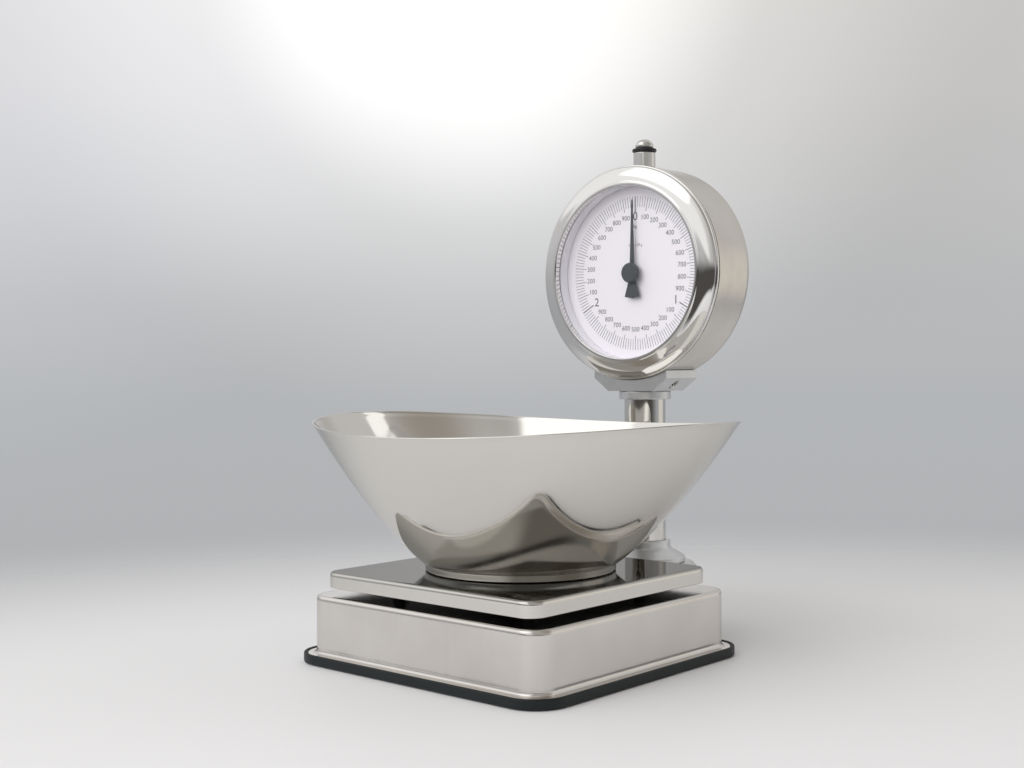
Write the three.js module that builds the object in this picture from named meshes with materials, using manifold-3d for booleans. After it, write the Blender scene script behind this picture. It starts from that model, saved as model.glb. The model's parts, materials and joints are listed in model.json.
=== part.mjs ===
// Mechanical kitchen scale: a square pressed-steel base with a weighing platform, a lift-off bowl, and a
// round dial head on a chromed pillar behind the base. Two levers in the base pull a draw rod down the
// pillar; the rod stretches two springs in the head, and its rack turns the pointer's pinion.
// Millimetres, +Z up, the dial faces -Y. The origin is the centre of the bounding box's floor.
import * as THREE from "three";
import { ParametricGeometry } from "three/addons/geometries/ParametricGeometry.js";
import { mergeVertices } from "three/addons/utils/BufferGeometryUtils.js";
import Module from "manifold-3d";

const wasm = await Module();
wasm.setup();

// ---------------------------------------------------------------- driving dimensions
const seatGap = 0.3; // between pieces that touch
const runGap = 0.6; // round a piece that moves in another
const hangGap = 0.5; // above and below a lever's bar in the stirrup it hangs in

// base
const baseWidth = 184;
const baseCorner = 13.5;
const baseTopZ = 40.5;
const baseEdge = 3; // rounding of the shell's top edge
const sheet = 1; // thickness of the pressed steel
const flangeReach = 5.5; // how far the shell's foot flange stands out
const trimReach = 8; // how far the trim stands out past the shell's wall
const trimHeight = 6;
const trimWall = 2.2;
const trimFloor = 2.5; // thickness of the trim under the flange
const trimLedge = 1.6; // how far the ledge under the flange stands above the trim's floor
const trimTread = 16; // width of the face the trim stands on
const plateThick = 1.2;

// weighing platform
const platformWidth = 168;
const platformDepth = 168;
const platformY = -2.5;
const platformCorner = 10.5;
const platformEdge = 2.5;
const platformTopZ = 54.5;
const platformSkirt = 9.5;
const frameInset = 2.2; // from the tray's outside in to the frame under it
const frameWall = 3;
const postX = 53;
const postRadius = 4;
const postHoleRadius = 7;

// bowl
const bowlHalfWidth = 140.5;
const bowlHalfDepth = 115;
const bowlRimHeight = 89.5; // mean height of the rim above the platform
const bowlRimWave = 3.7; // the rim rises this much at its left and right ends, and dips at front and back
const bowlFootRadius = 60;
const bowlFootHeight = 4.6;
const bowlWall = 1.2;
const bowlBulgeOut = 0.47; // where the wall's control point stands, as shares of its run and its rise
const bowlBulgeUp = 0.31;

// pillar and its foot
const pillarBehind = 24; // from the shell's rear wall to the pillar's surface
const pillarRadius = 14;
const pillarWall = 1.5;
const footShoulder = 21; // how far the foot reaches past the pillar, at each side and behind
const footTopZ = 45;
const footEdge = 5;
const footWall = 2.5;
const collarRimReach = 13.2; // how far the stepped collar's rim reaches past the pillar
const collarRingWall = 2.9;
const collarRimHeight = 3.2;
const collarConeHeight = 5.8;
const collarRingHeight = 5.5;
const padThick = 2.5;

// levers
const fulcrumInset = 14; // from the base's front and rear walls in to the two fulcrums
const loadArm = 26; // from a lever's fulcrum to its load pin
const pinRadius = 2;
const leverThick = 3;
const leverBar = 8;
const mainLeverZ = 31; // underside of the main lever
const shortLeverZ = 16; // underside of the short lever
const fulcrumX = 60;

// head
const headZ = 241;
const drumRadius = 72;
const drumBeforePillar = 3.5; // how far the drum reaches past the pillar at the front
const drumBehindPillar = 6;
const drumEdge = 5;
const drumLip = 12; // how far the rear lip reaches in
const bezelDepth = 8;
const bezelWidth = 14.3;
const lensThick = 1.6;
const lensInset = 5; // from the drum's outside in to the lens's edge
const spacerWall = 1.5;
const dialRecess = 15.1; // from the bezel's front back to the dial
const dialThick = 1;
const movementGap = 2.3; // behind the dial
const movementPlateThick = 1.4;
const bridgeBehind = 8; // from the pillar's axis back to the bridge
const bridgeHalfWidth = 30;
const coverInset = 8; // from the drum's outside in to the rear cover's edge
const coverThick = 1.2;

// bracket between the pillar and the drum
const bracketReachTop = 16; // how far the bracket reaches past the pillar at each side
const bracketReachBottom = 4.3;
const bracketDrop = 7.8; // from the drum's lowest line down to the bracket's underside
const bracketChamfer = 8.8;
const bracketWrap = 22; // how far the bracket could reach up the drum's sides
const headCollarWall = 3.6;
const headCollarHeight = 5.4;

// draw rod, rack and pinion, springs
const rodRadius = 1.6;
const gearModule = 0.4;
const pinionTeeth = 18;
const pressureAngle = (20 * Math.PI) / 180;
const backlash = 0.1;
const gearWidth = 3;
const rackWidth = 4.4;
const springX = 18;
const springRadius = 4.2; // to the wire's centre
const springWire = 1.3;
const springTurns = 9;
const springBarRise = 37; // from the drum's lowest line up to the spring bar
const hangerDrop = 27; // from the drum's highest line down to the spring hanger
const barThick = 4;
const arborRadius = 1.2;

// pointer
const pointerShort = 8.2; // from the bezel's opening in to the pointer's tip
const pointerRoot = 3.8;
const pointerTail = 17;
const pointerTailWidth = 12;
const pointerThick = 1.2;
const pointerAhead = 4.3; // from the dial's face to the pointer
const bossRadius = 6.75;
const bossThick = 3.3;

// zero knob
const knobCollarRadius = 7.5;
const knobCollarHeight = 10.4;
const knobRingRadius = 8.3;
const knobRingThick = 2.4;
const knobCapRadius = 6.2;
const zeroScrewRadius = 2;

// screws
const screwRadius = 1.6;
const screwHeadRadius = 3.2;
const screwHeadThick = 1.8;

// ---------------------------------------------------------------- what follows from them
const baseHalf = baseWidth / 2;
const trimHalf = baseHalf + trimReach;
const trimInnerHalf = trimHalf - trimTread;
const plateZ = trimFloor + seatGap;
const plateTopZ = plateZ + plateThick;
const flangeZ = plateZ + trimLedge;
const bowlBottomZ = platformTopZ + seatGap;
const pinionPitch = (gearModule * pinionTeeth) / 2;
const pillarY = baseHalf + pillarBehind + pillarRadius;
const footHalfWidth = pillarRadius + footShoulder;
const collarRimRadius = pillarRadius + collarRimReach;
const collarRingRadius = pillarRadius + collarRingWall;
const headCollarRadius = pillarRadius + headCollarWall;
const fulcrumY = baseHalf - fulcrumInset; // the two levers turn about -fulcrumY and +fulcrumY
const noseY = pillarY; // the main lever's nose hangs on the draw rod, on the pillar's axis
const drumFrontY = pillarY - pillarRadius - drumBeforePillar;
const drumRearY = pillarY + pillarRadius + drumBehindPillar;
const drumLipRadius = drumRadius - drumLip;
const coverRadius = drumRadius - coverInset;
const bezelRadius = drumRadius;
const bezelRearY = drumFrontY - seatGap;
const bezelFrontY = bezelRearY - bezelDepth;
const bezelOpening = bezelRadius - bezelWidth;
const lensRadius = drumRadius - lensInset;
const dialY = bezelFrontY + dialRecess;
const movementPlateY = dialY + dialThick + movementGap;
const bridgeY = pillarY + bridgeBehind;
const pointerY = dialY - pointerAhead;
const pointerLength = bezelOpening - pointerShort;
const bossFrontY = pointerY - seatGap - bossThick;
const rodTravel = 2 * Math.PI * pinionPitch; // one turn of the pointer
const shellRearY = baseHalf;
const drumTopZ = headZ + drumRadius;
const drumBottomZ = headZ - drumRadius;
const springBarZ = drumBottomZ + springBarRise;
const hangerZ = drumTopZ - hangerDrop;
const bracketBottomZ = drumBottomZ - bracketDrop;
const bracketShoulderZ = bracketBottomZ + bracketChamfer;
const bracketHalfTop = pillarRadius + bracketReachTop;
const bracketHalfBottom = pillarRadius + bracketReachBottom;
const rearReach = pillarY + footHalfWidth;
const frontReach = bowlHalfDepth;
const originShiftY = (rearReach - frontReach) / 2;
const round = 48; // sides of a large round piece
const small = 12; // sides of a small one

// ---------------------------------------------------------------- materials
const metal = (color, roughness, metalness = 1) =>
  new THREE.MeshStandardMaterial({ color, roughness, metalness });
const polishedSteel = metal(0xd6d3cd, 0.12);
const satinSteel = metal(0xc4bfb6, 0.35);
const chrome = metal(0xdcdcdc, 0.06);
const castSilver = metal(0xb9bbbc, 0.45, 0.8);
const zincSteel = metal(0xa9aaa6, 0.4);
const springSteel = metal(0x6d6c6a, 0.4);
const brass = metal(0xb8964a, 0.35);
const blackRubber = metal(0x14171a, 0.7, 0);
const blackPlastic = metal(0x1b1d1f, 0.4, 0);
const darkPaint = metal(0x24262a, 0.6, 0.2);
const greyPlastic = metal(0x4b4e52, 0.5, 0);
const dialWhite = metal(0xf1f0f4, 0.5, 0);
const clearPlastic = new THREE.MeshStandardMaterial({
  color: 0xffffff, roughness: 0.05, metalness: 0, transparent: true, opacity: 0.2,
});

// ---------------------------------------------------------------- solids
// A geometry as a manifold-3d solid, with its shared vertices merged.
function solid(geometry) {
  const bare = new THREE.BufferGeometry().setAttribute("position", geometry.getAttribute("position").clone());
  if (geometry.index) bare.setIndex(geometry.index.clone());
  const merged = mergeVertices(bare, 1e-4);
  return new wasm.Manifold(new wasm.Mesh({
    numProp: 3,
    vertProperties: new Float32Array(merged.attributes.position.array),
    triVerts: new Uint32Array(merged.index.array),
  }));
}

function geometryOf(manifold) {
  const mesh = manifold.getMesh();
  const points = new Float32Array(mesh.numVert * 3);
  for (let i = 0; i < mesh.numVert; i++) {
    points.set(mesh.vertProperties.subarray(i * mesh.numProp, i * mesh.numProp + 3), i * 3);
  }
  return new THREE.BufferGeometry()
    .setAttribute("position", new THREE.BufferAttribute(points, 3))
    .setIndex(new THREE.BufferAttribute(mesh.triVerts, 1));
}

const cut = (body, ...tools) => tools.reduce((left, tool) => left.subtract(tool), body);
const join = (...pieces) => pieces.reduce((all, piece) => all.add(piece));

function box(x0, x1, y0, y1, z0, z1) {
  const block = new THREE.BoxGeometry(x1 - x0, y1 - y0, z1 - z0);
  return solid(block.translate((x0 + x1) / 2, (y0 + y1) / 2, (z0 + z1) / 2));
}

// A ring or a disc turned about +Z: [radius, height] pairs, anticlockwise with radius right and height up.
function turned(profile, sides = round) {
  const points = profile.map(([r, h]) => new THREE.Vector2(r, h));
  const closes = profile[0][0] > 0;
  if (closes) points.push(points[0].clone());
  const lathe = new THREE.LatheGeometry(points, sides);
  return solid(lathe.rotateX(Math.PI / 2));
}

// The same about the dial's axis: [radius, y] pairs, with y measured along +Y.
function turnedOnDial(profile, sides = round) {
  const flipped = profile.map(([r, y]) => [r, -y]).reverse();
  return turned(flipped, sides).rotate([90, 0, 0]).translate([0, 0, headZ]);
}

function rod(radius, z0, z1, x = 0, y = 0, sides = small) {
  const cylinder = new THREE.CylinderGeometry(radius, radius, z1 - z0, sides).rotateX(Math.PI / 2);
  return solid(cylinder.translate(x, y, (z0 + z1) / 2));
}

function rodAlongY(radius, y0, y1, x, z, sides = small) {
  const cylinder = new THREE.CylinderGeometry(radius, radius, y1 - y0, sides);
  return solid(cylinder.translate(x, (y0 + y1) / 2, z));
}

function rodAlongX(radius, x0, x1, y, z, sides = small) {
  const cylinder = new THREE.CylinderGeometry(radius, radius, x1 - x0, sides).rotateZ(Math.PI / 2);
  return solid(cylinder.translate((x0 + x1) / 2, y, z));
}

// A flat shape in X and Y, pulled up from z0 to z1.
function slab(shape, z0, z1, curveSegments = 4) {
  const plate = new THREE.ExtrudeGeometry(shape, { depth: z1 - z0, bevelEnabled: false, curveSegments });
  return solid(plate.translate(0, 0, z0));
}

// A flat shape in X and Z, pulled back from y0 to y1.
function upright(shape, y0, y1, curveSegments = 4) {
  const plate = new THREE.ExtrudeGeometry(shape, { depth: y1 - y0, bevelEnabled: false, curveSegments });
  return solid(plate.rotateX(Math.PI / 2).translate(0, y1, 0));
}

function polygon(points) {
  return new THREE.Shape(points.map(([x, y]) => new THREE.Vector2(x, y)));
}

function roundedRectangle(halfX, halfY, corner, centreY = 0) {
  const shape = new THREE.Shape();
  shape.absarc(halfX - corner, centreY - halfY + corner, corner, -Math.PI / 2, 0);
  shape.absarc(halfX - corner, centreY + halfY - corner, corner, 0, Math.PI / 2);
  shape.absarc(-halfX + corner, centreY + halfY - corner, corner, Math.PI / 2, Math.PI);
  shape.absarc(-halfX + corner, centreY - halfY + corner, corner, Math.PI, 1.5 * Math.PI);
  shape.closePath();
  return shape;
}

// An upside-down pan with a rounded top edge: a filled block, rounded all round its top.
function roundTopped(shape, z0, z1, edge, inset = 0, segments = 3, curveSegments = 4) {
  const block = new THREE.ExtrudeGeometry(shape, {
    depth: z1 - z0 - edge + 2 * edge, bevelEnabled: true, bevelThickness: edge, bevelSize: edge,
    bevelOffset: -edge - inset, bevelSegments: segments, curveSegments,
  });
  const tall = solid(block.translate(0, 0, z0 - 2 * edge));
  return tall.trimByPlane([0, 0, 1], z0);
}

// ---------------------------------------------------------------- base
const shellOutline = roundedRectangle(baseHalf, baseHalf, baseCorner);

function makeBaseShell() {
  const outer = roundTopped(shellOutline, flangeZ, baseTopZ, baseEdge);
  const inner = roundTopped(shellOutline, flangeZ - 1, baseTopZ - sheet, baseEdge - sheet, sheet);
  const flange = slab(
    roundedRectangle(baseHalf + flangeReach, baseHalf + flangeReach, baseCorner + flangeReach),
    flangeZ, flangeZ + sheet,
  );
  const postHoles = [];
  for (const x of [-postX, postX]) {
    for (const y of [-fulcrumY + loadArm, fulcrumY - loadArm]) {
      postHoles.push(rod(postHoleRadius, baseTopZ - 4, baseTopZ + 1, x, y));
    }
  }
  const noseWindow = box(-leverBar, leverBar, shellRearY - 4, shellRearY + 1, 9, mainLeverZ + leverThick + 3);
  const screwHoles = [-1, 1].map((side) =>
    rodAlongY(screwRadius + seatGap, shellRearY - 4, shellRearY + 1, side * footScrewX, footScrewZ));
  return cut(join(outer, flange), inner, ...postHoles, noseWindow, ...screwHoles);
}

// The trim is a rubber channel: a floor under the base plate, a ledge under the shell's flange, and a wall
// that stands up round its edge.
function makeBaseTrim() {
  const outline = (half, corner) => roundedRectangle(half, half, corner);
  const outerCorner = baseCorner + trimHalf - baseHalf;
  const block = slab(outline(trimHalf, outerCorner), 0, trimHeight);
  const channel = slab(
    outline(trimHalf - trimWall, outerCorner - trimWall),
    trimFloor + trimLedge, trimHeight + 1,
  );
  const plateReach = sheet - seatGap; // the ledge starts this far inside the shell's outside
  const well = slab(outline(baseHalf - plateReach, baseCorner - plateReach), trimFloor, trimHeight + 1);
  const hole = slab(outline(trimInnerHalf, baseCorner / 2), -1, trimHeight + 1);
  return cut(block, channel, well, hole);
}

const bearingScrews = [[-1, -1], [1, -1], [-1, 1], [1, 1]].map(([sx, sy]) => [sx * 44, sy * fulcrumY]);

function makeBasePlate() {
  const half = baseHalf - sheet - seatGap;
  const plate = slab(roundedRectangle(half, half, baseCorner - sheet - seatGap), plateZ, plateTopZ);
  const holes = bearingScrews.map(([x, y]) =>
    rod(screwRadius + seatGap, plateZ - 1, plateTopZ + 1, x, y));
  return cut(plate, ...holes);
}

// A strip screwed to the base plate, with an upstand at each end whose notch holds a lever's fulcrum pin.
function makeBearing(y, pinZ) {
  const foot = plateTopZ + seatGap;
  const strip = box(-fulcrumX - 5, fulcrumX + 5, y - 6, y + 6, foot, foot + 2);
  const upstands = [-1, 1].map((side) => {
    const x = side * (fulcrumX + 3.5);
    const notch = rodAlongX(pinRadius + seatGap, x - 2, x + 2, y, pinZ);
    const mouth = box(x - 2, x + 2, y - pinRadius - seatGap, y + pinRadius + seatGap, pinZ, pinZ + 10);
    return cut(box(x - 1.25, x + 1.25, y - 6, y + 6, foot, pinZ + 2), notch, mouth);
  });
  const holes = bearingScrews.filter((at) => Math.sign(at[1]) === Math.sign(y))
    .map(([x, sy]) => rod(screwRadius + seatGap, foot - 1, foot + 4, x, sy));
  return cut(join(strip, ...upstands), ...holes);
}

// A pan-head screw that points up, its head's underside at z.
function makeScrewUp(x, y, z, length) {
  const head = rod(screwHeadRadius, z - screwHeadThick, z, x, y);
  const slot = box(x - 2, x + 2, y - 0.4, y + 0.4, z - screwHeadThick - 1, z - screwHeadThick + 0.6);
  return cut(join(head, rod(screwRadius, z - 0.5, z + length, x, y)), slot);
}

// ---------------------------------------------------------------- weighing platform
const platformOutline = roundedRectangle(platformWidth / 2, platformDepth / 2, platformCorner, platformY);

function makePlatformTray() {
  const bottomZ = platformTopZ - platformSkirt;
  const outer = roundTopped(platformOutline, bottomZ, platformTopZ, platformEdge);
  const inner = roundTopped(platformOutline, bottomZ - 1, platformTopZ - sheet, platformEdge - sheet, sheet);
  return cut(outer, inner);
}

// A dark pan that fills the tray from below, with a cross inside it and four posts that go down through the
// shell to the load pins.
function makePlatformFrame() {
  const topZ = platformTopZ - sheet - seatGap;
  const frontY = -fulcrumY + loadArm;
  const rearY = fulcrumY - loadArm;
  const panHalf = platformWidth / 2 - frameInset;
  const panDepth = platformDepth / 2 - frameInset;
  const panCorner = platformCorner - frameInset;
  const rimZ = platformTopZ - platformSkirt + 0.5;
  const pan = cut(
    slab(roundedRectangle(panHalf, panDepth, panCorner, platformY), rimZ, topZ),
    slab(
      roundedRectangle(panHalf - frameWall, panDepth - frameWall, panCorner - frameWall, platformY),
      rimZ - 1, topZ - 2,
    ),
  );
  const bars = [frontY, rearY].map((y) => box(-postX - 8, postX + 8, y - 6, y + 6, topZ - 4, topZ - 1));
  const spine = box(-7, 7, frontY, rearY, topZ - 4, topZ - 1);
  const posts = [];
  for (const x of [-postX, postX]) {
    posts.push(rod(postRadius, mainPinZ + pinRadius + seatGap, topZ - 1, x, frontY));
    posts.push(rod(postRadius, shortPinZ + pinRadius + seatGap, topZ - 1, x, rearY));
  }
  return join(pan, ...bars, spine, ...posts);
}

// ---------------------------------------------------------------- bowl
// One side of the wall at height share t, 0 at the foot and 1 at the rim, and angle a; inset moves it inwards.
function bowlPoint(t, a, inset, target) {
  const footR = bowlFootRadius - inset;
  const rimX = bowlHalfWidth - inset;
  const rimY = bowlHalfDepth - inset;
  const footZ = bowlBottomZ + bowlFootHeight + (inset ? inset * 0.6 : 0);
  const rimZ = bowlBottomZ + bowlRimHeight - seatGap + bowlRimWave * Math.cos(2 * a);
  const s = 1 - t;
  const out = 2 * s * t * bowlBulgeOut + t * t;
  const up = 2 * s * t * bowlBulgeUp + t * t;
  return target.set(
    Math.cos(a) * (footR + (rimX - footR) * out),
    Math.sin(a) * (footR + (rimY - footR) * out),
    footZ + (rimZ - footZ) * up,
  );
}

function makeBowl() {
  const wallSteps = 8;
  const rows = 2 * wallSteps + 6;
  const centre = new THREE.Vector3();
  // v runs from the underside's centre, round the foot, up the outside, over the rim and down the inside.
  const surface = new ParametricGeometry((u, v, target) => {
    const a = 2 * Math.PI * u;
    const row = Math.round(v * rows);
    const flat = (r, z) => target.set(r * Math.cos(a), r * Math.sin(a), z);
    if (row === 0) return flat(0, bowlBottomZ + 1.6);
    if (row === 1) return flat(bowlFootRadius - 5, bowlBottomZ + 1.6);
    if (row === 2) return flat(bowlFootRadius - 3.5, bowlBottomZ);
    if (row === 3) return flat(bowlFootRadius - 0.8, bowlBottomZ);
    if (row <= 4 + wallSteps) return bowlPoint((row - 4) / wallSteps, a, 0, target);
    if (row <= 5 + 2 * wallSteps) {
      return bowlPoint((5 + 2 * wallSteps - row) / wallSteps, a, bowlWall, target);
    }
    return flat(0, bowlBottomZ + 1.6 + bowlWall);
  }, round, rows);
  return solid(surface);
}

// ---------------------------------------------------------------- foot and pillar
const footScrewX = footHalfWidth - 11;
const footScrewZ = 25;

// The foot's plan: straight sides from the shell's rear wall, closed by a half circle round the pillar.
function footOutline(inset, frontY) {
  const half = footHalfWidth - inset;
  const shape = new THREE.Shape();
  shape.moveTo(-half, frontY);
  shape.lineTo(half, frontY);
  shape.lineTo(half, pillarY);
  shape.absarc(0, pillarY, half, 0, Math.PI);
  shape.closePath();
  return shape;
}

function makePillarFoot() {
  const frontY = shellRearY + seatGap;
  const behind = frontY - 2 * footEdge; // the rounded end of the block is cut off where it meets the shell
  const outer = roundTopped(footOutline(0, behind), padThick - 1, footTopZ, footEdge, 0, 3, 12)
    .trimByPlane([0, 1, 0], frontY);
  const inner = roundTopped(
    footOutline(0, behind), 0, footTopZ - footWall, footEdge - footWall, footWall, 2, 12,
  );
  const bosses = [-1, 1].map((side) => {
    const ends = [side * (footScrewX - 5), side * (footHalfWidth - 1)];
    return box(Math.min(...ends), Math.max(...ends), frontY, frontY + 10, footScrewZ - 6, footScrewZ + 6);
  });
  const screwHoles = [-1, 1].map((side) =>
    rodAlongY(screwRadius + seatGap, frontY - 1, frontY + 9, side * footScrewX, footScrewZ));
  const trimNotch = box(-60, 60, frontY - 1, trimHalf + runGap, -1, trimHeight + runGap);
  const rodHole = rod(pillarRadius - pillarWall, footTopZ - 5, footTopZ + 1, 0, pillarY, 24);
  return cut(join(cut(outer, inner), ...bosses), ...screwHoles, trimNotch, rodHole);
}

function makeFootCover() {
  const outline = footOutline(footWall + seatGap, trimHalf + runGap + 0.5);
  return slab(outline, padThick + seatGap, padThick + seatGap + plateThick, 12);
}

function makeRearPad() {
  return slab(footOutline(footWall + 1, trimHalf + runGap + 1), 0, padThick, 12);
}

// The stepped ring that seats the pillar: a rim, a cone and a plain ring.
function makeFootCollar() {
  const z = footTopZ + seatGap;
  const bore = pillarRadius + seatGap;
  const rimTop = z + collarRimHeight;
  const coneTop = rimTop + collarConeHeight;
  const ringTop = coneTop + collarRingHeight;
  return turned([
    [pillarRadius - pillarWall, z], [collarRimRadius, z], [collarRimRadius, rimTop - 0.8],
    [collarRimRadius - 0.8, rimTop], [collarRingRadius + 0.6, coneTop], [collarRingRadius, coneTop + 0.4],
    [collarRingRadius, ringTop - 1], [collarRingRadius - 1, ringTop], [bore, ringTop], [bore, z + 2],
    [pillarRadius - pillarWall, z + 2],
  ], 40).translate([0, pillarY, 0]);
}

const pillarBottomZ = footTopZ + seatGap + 2 + seatGap;
const pillarTopZ = drumBottomZ - 3;

function makePillar() {
  return cut(
    rod(pillarRadius, pillarBottomZ, pillarTopZ, 0, pillarY, 40),
    rod(pillarRadius - pillarWall, pillarBottomZ - 1, pillarTopZ + 1, 0, pillarY, 40),
  );
}

function makeHeadCollar() {
  const top = bracketBottomZ - seatGap;
  const bottom = top - headCollarHeight;
  const bore = pillarRadius + seatGap;
  return turned([
    [bore, bottom], [headCollarRadius - 0.8, bottom], [headCollarRadius, bottom + 0.8],
    [headCollarRadius, top], [bore, top],
  ], 40).translate([0, pillarY, 0]);
}

// ---------------------------------------------------------------- head
const drumScrewX = 25;
const clampScrewZ = (bracketBottomZ + bracketShoulderZ) / 2;

function makeHeadBracket() {
  const shape = polygon([
    [-bracketHalfBottom, bracketBottomZ],
    [bracketHalfBottom, bracketBottomZ],
    [bracketHalfTop, bracketShoulderZ],
    [bracketHalfTop, drumBottomZ + bracketWrap],
    [-bracketHalfTop, drumBottomZ + bracketWrap],
    [-bracketHalfTop, bracketShoulderZ],
  ]);
  const block = upright(shape, drumFrontY, drumRearY - 1);
  const cradle = rodAlongY(drumRadius + seatGap, drumFrontY - 1, drumRearY + 1, 0, headZ, 96);
  const bore = rod(pillarRadius + seatGap, bracketBottomZ - 1, headZ, 0, pillarY, 40);
  const clampHoles = [-1, 1].map((side) => side > 0
    ? rodAlongX(clampScrewRadius + seatGap, pillarRadius, 40, pillarY, clampScrewZ)
    : rodAlongX(clampScrewRadius + seatGap, -40, -pillarRadius, pillarY, clampScrewZ));
  const drumHoles = [-1, 1].map((side) =>
    rod(screwRadius + seatGap, drumScrewBottomZ - seatGap, headZ, side * drumScrewX, pillarY));
  return cut(block, cradle, bore, ...clampHoles, ...drumHoles);
}

const clampScrewRadius = 2.4;

function makeClampScrew(side) {
  const inner = pillarRadius + seatGap;
  const outer = inner + 8.5;
  const body = side > 0
    ? rodAlongX(clampScrewRadius, inner, outer, pillarY, clampScrewZ)
    : rodAlongX(clampScrewRadius, -outer, -inner, pillarY, clampScrewZ);
  const socket = rodAlongX(1.2, side > 0 ? outer - 2.5 : -outer - 1, side > 0 ? outer + 1 : -outer + 2.5,
    pillarY, clampScrewZ, 6);
  return cut(body, socket);
}

// The drum is a tube whose rear edge rolls in to a lip that carries the rear cover.
function makeDrum() {
  const arc = (radius, steps) => Array.from({ length: steps + 1 }, (_, i) => {
    const a = ((steps - i) / steps) * (Math.PI / 2);
    return [drumRadius - drumEdge + radius * Math.sin(a), drumRearY - drumEdge + radius * Math.cos(a)];
  });
  const outer = arc(drumEdge, 3);
  const inner = arc(drumEdge - sheet, 3).reverse();
  const profile = [
    [drumRadius, drumFrontY], ...outer, [drumLipRadius, drumRearY], [drumLipRadius, drumRearY - sheet],
    ...inner, [drumRadius - sheet, drumFrontY],
  ];
  const shell = turnedOnDial(profile, 56);
  const rodHole = rod(pillarRadius - pillarWall - 3, drumBottomZ - 2, drumBottomZ + 6, 0, pillarY);
  const screwHole = rod(zeroScrewRadius + runGap, drumTopZ - 6, drumTopZ + 2, 0, pillarY);
  const lowerHoles = [-1, 1].map((side) =>
    rod(screwRadius + seatGap, drumBottomZ - 2, drumBottomZ + 12, side * drumScrewX, pillarY));
  const coverHoles = coverScrews.map(([x, z]) =>
    rodAlongY(screwRadius + seatGap, drumRearY - 3, drumRearY + 2, x, z));
  return cut(shell, rodHole, screwHole, ...lowerHoles, ...coverHoles);
}

const drumScrewTopZ = headZ - Math.sqrt((drumRadius - sheet) ** 2 - drumScrewX ** 2) + 2.6;
const drumScrewBottomZ = drumScrewTopZ - 6.5;

function makeDrumScrew(side) {
  const x = side * drumScrewX;
  const head = rod(screwHeadRadius, drumScrewTopZ, drumScrewTopZ + screwHeadThick, x, pillarY);
  const slotZ = drumScrewTopZ + screwHeadThick - 0.6;
  const slot = box(x - 2, x + 2, pillarY - 0.4, pillarY + 0.4, slotZ, drumScrewTopZ + 4);
  return cut(join(head, rod(screwRadius, drumScrewBottomZ, drumScrewTopZ + 0.5, x, pillarY)), slot);
}

const coverScrews = [90, 210, 330].map((degrees) => {
  const a = (degrees * Math.PI) / 180;
  const r = (drumLipRadius + coverRadius) / 2;
  return [r * Math.cos(a), headZ + r * Math.sin(a)];
});

function makeRearCover() {
  const y = drumRearY + seatGap;
  const disc = turnedOnDial([[0, y], [coverRadius, y], [coverRadius, y + coverThick * 0.5],
    [coverRadius - 0.6, y + coverThick], [0, y + coverThick]]);
  return cut(disc, ...coverScrews.map(([x, z]) => rodAlongY(screwRadius + seatGap, y - 1, y + 3, x, z)));
}

function makeCoverScrew(x, z) {
  const y = drumRearY + seatGap + coverThick + seatGap;
  const head = rodAlongY(screwHeadRadius, y, y + screwHeadThick, x, z);
  const slot = box(x - 2, x + 2, y + screwHeadThick - 0.6, y + screwHeadThick + 1, z - 0.4, z + 0.4);
  return cut(join(head, rodAlongY(screwRadius, drumRearY - 4, y + 0.5, x, z)), slot);
}

// The bezel: an outer bead, a broad cone that rises to the opening's lip, and a skirt inside the drum.
function makeBezel() {
  const bead = 2;
  const beadY = bezelRearY - bead;
  const beadArc = [-0.5, -0.2, 0.1, 0.4, 0.7].map((s) => {
    const a = s * Math.PI;
    return [bezelRadius - bead + bead * Math.cos(a * 0.7), beadY + bead * Math.sin(a * 0.7)];
  });
  const skirt = drumRadius - sheet - seatGap;
  return turnedOnDial([
    [bezelOpening, bezelFrontY + 1], [bezelOpening + 0.5, bezelFrontY + 0.2], [bezelOpening + 1.4, bezelFrontY],
    ...beadArc, [skirt, bezelRearY], [skirt, bezelRearY + 5], [skirt - sheet, bezelRearY + 5],
    [skirt - sheet, beadY], [lensRadius + seatGap, bezelFrontY + 4.2], [bezelOpening + 1.2, bezelFrontY + 1.5],
    [bezelOpening, bezelFrontY + 1.5],
  ], 56);
}

const lensFrontY = bezelFrontY + 4.6;

function makeLens() {
  return turnedOnDial([[0, lensFrontY], [lensRadius, lensFrontY], [lensRadius, lensFrontY + lensThick],
    [0, lensFrontY + lensThick]]);
}

// The white wall between the lens and the dial.
function makeSpacerRing() {
  const y0 = lensFrontY + lensThick + seatGap;
  const y1 = dialY - seatGap;
  const r = bezelOpening + 1;
  return turnedOnDial([[r, y0], [r + spacerWall, y0], [r + spacerWall, y1], [r, y1]]);
}

function makeDialPlate() {
  const disc = turnedOnDial([[0, dialY], [lensRadius, dialY], [lensRadius, dialY + dialThick],
    [0, dialY + dialThick]]);
  return cut(disc, rodAlongY(arborRadius + runGap, dialY - 1, dialY + 3, 0, headZ));
}

function makeMovementPlate() {
  const y = movementPlateY;
  const r = drumRadius - sheet - seatGap;
  const disc = turnedOnDial([[0, y], [r, y], [r, y + movementPlateThick], [0, y + movementPlateThick]]);
  return cut(disc, rodAlongY(3 + seatGap, y - 1, y + 3, 0, headZ, 24));
}

// The bush pressed in the movement plate, in which the pointer's arbor turns.
function makeArborBush() {
  const y = movementPlateY;
  const outside = join(
    rodAlongY(3, y - 1, y + movementPlateThick + 1.5, 0, headZ, 24),
    rodAlongY(4.5, y + movementPlateThick + seatGap, y + movementPlateThick + 1.5, 0, headZ, 24),
  );
  return cut(outside, rodAlongY(arborRadius + 0.08, y - 2, y + 6, 0, headZ));
}

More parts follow.
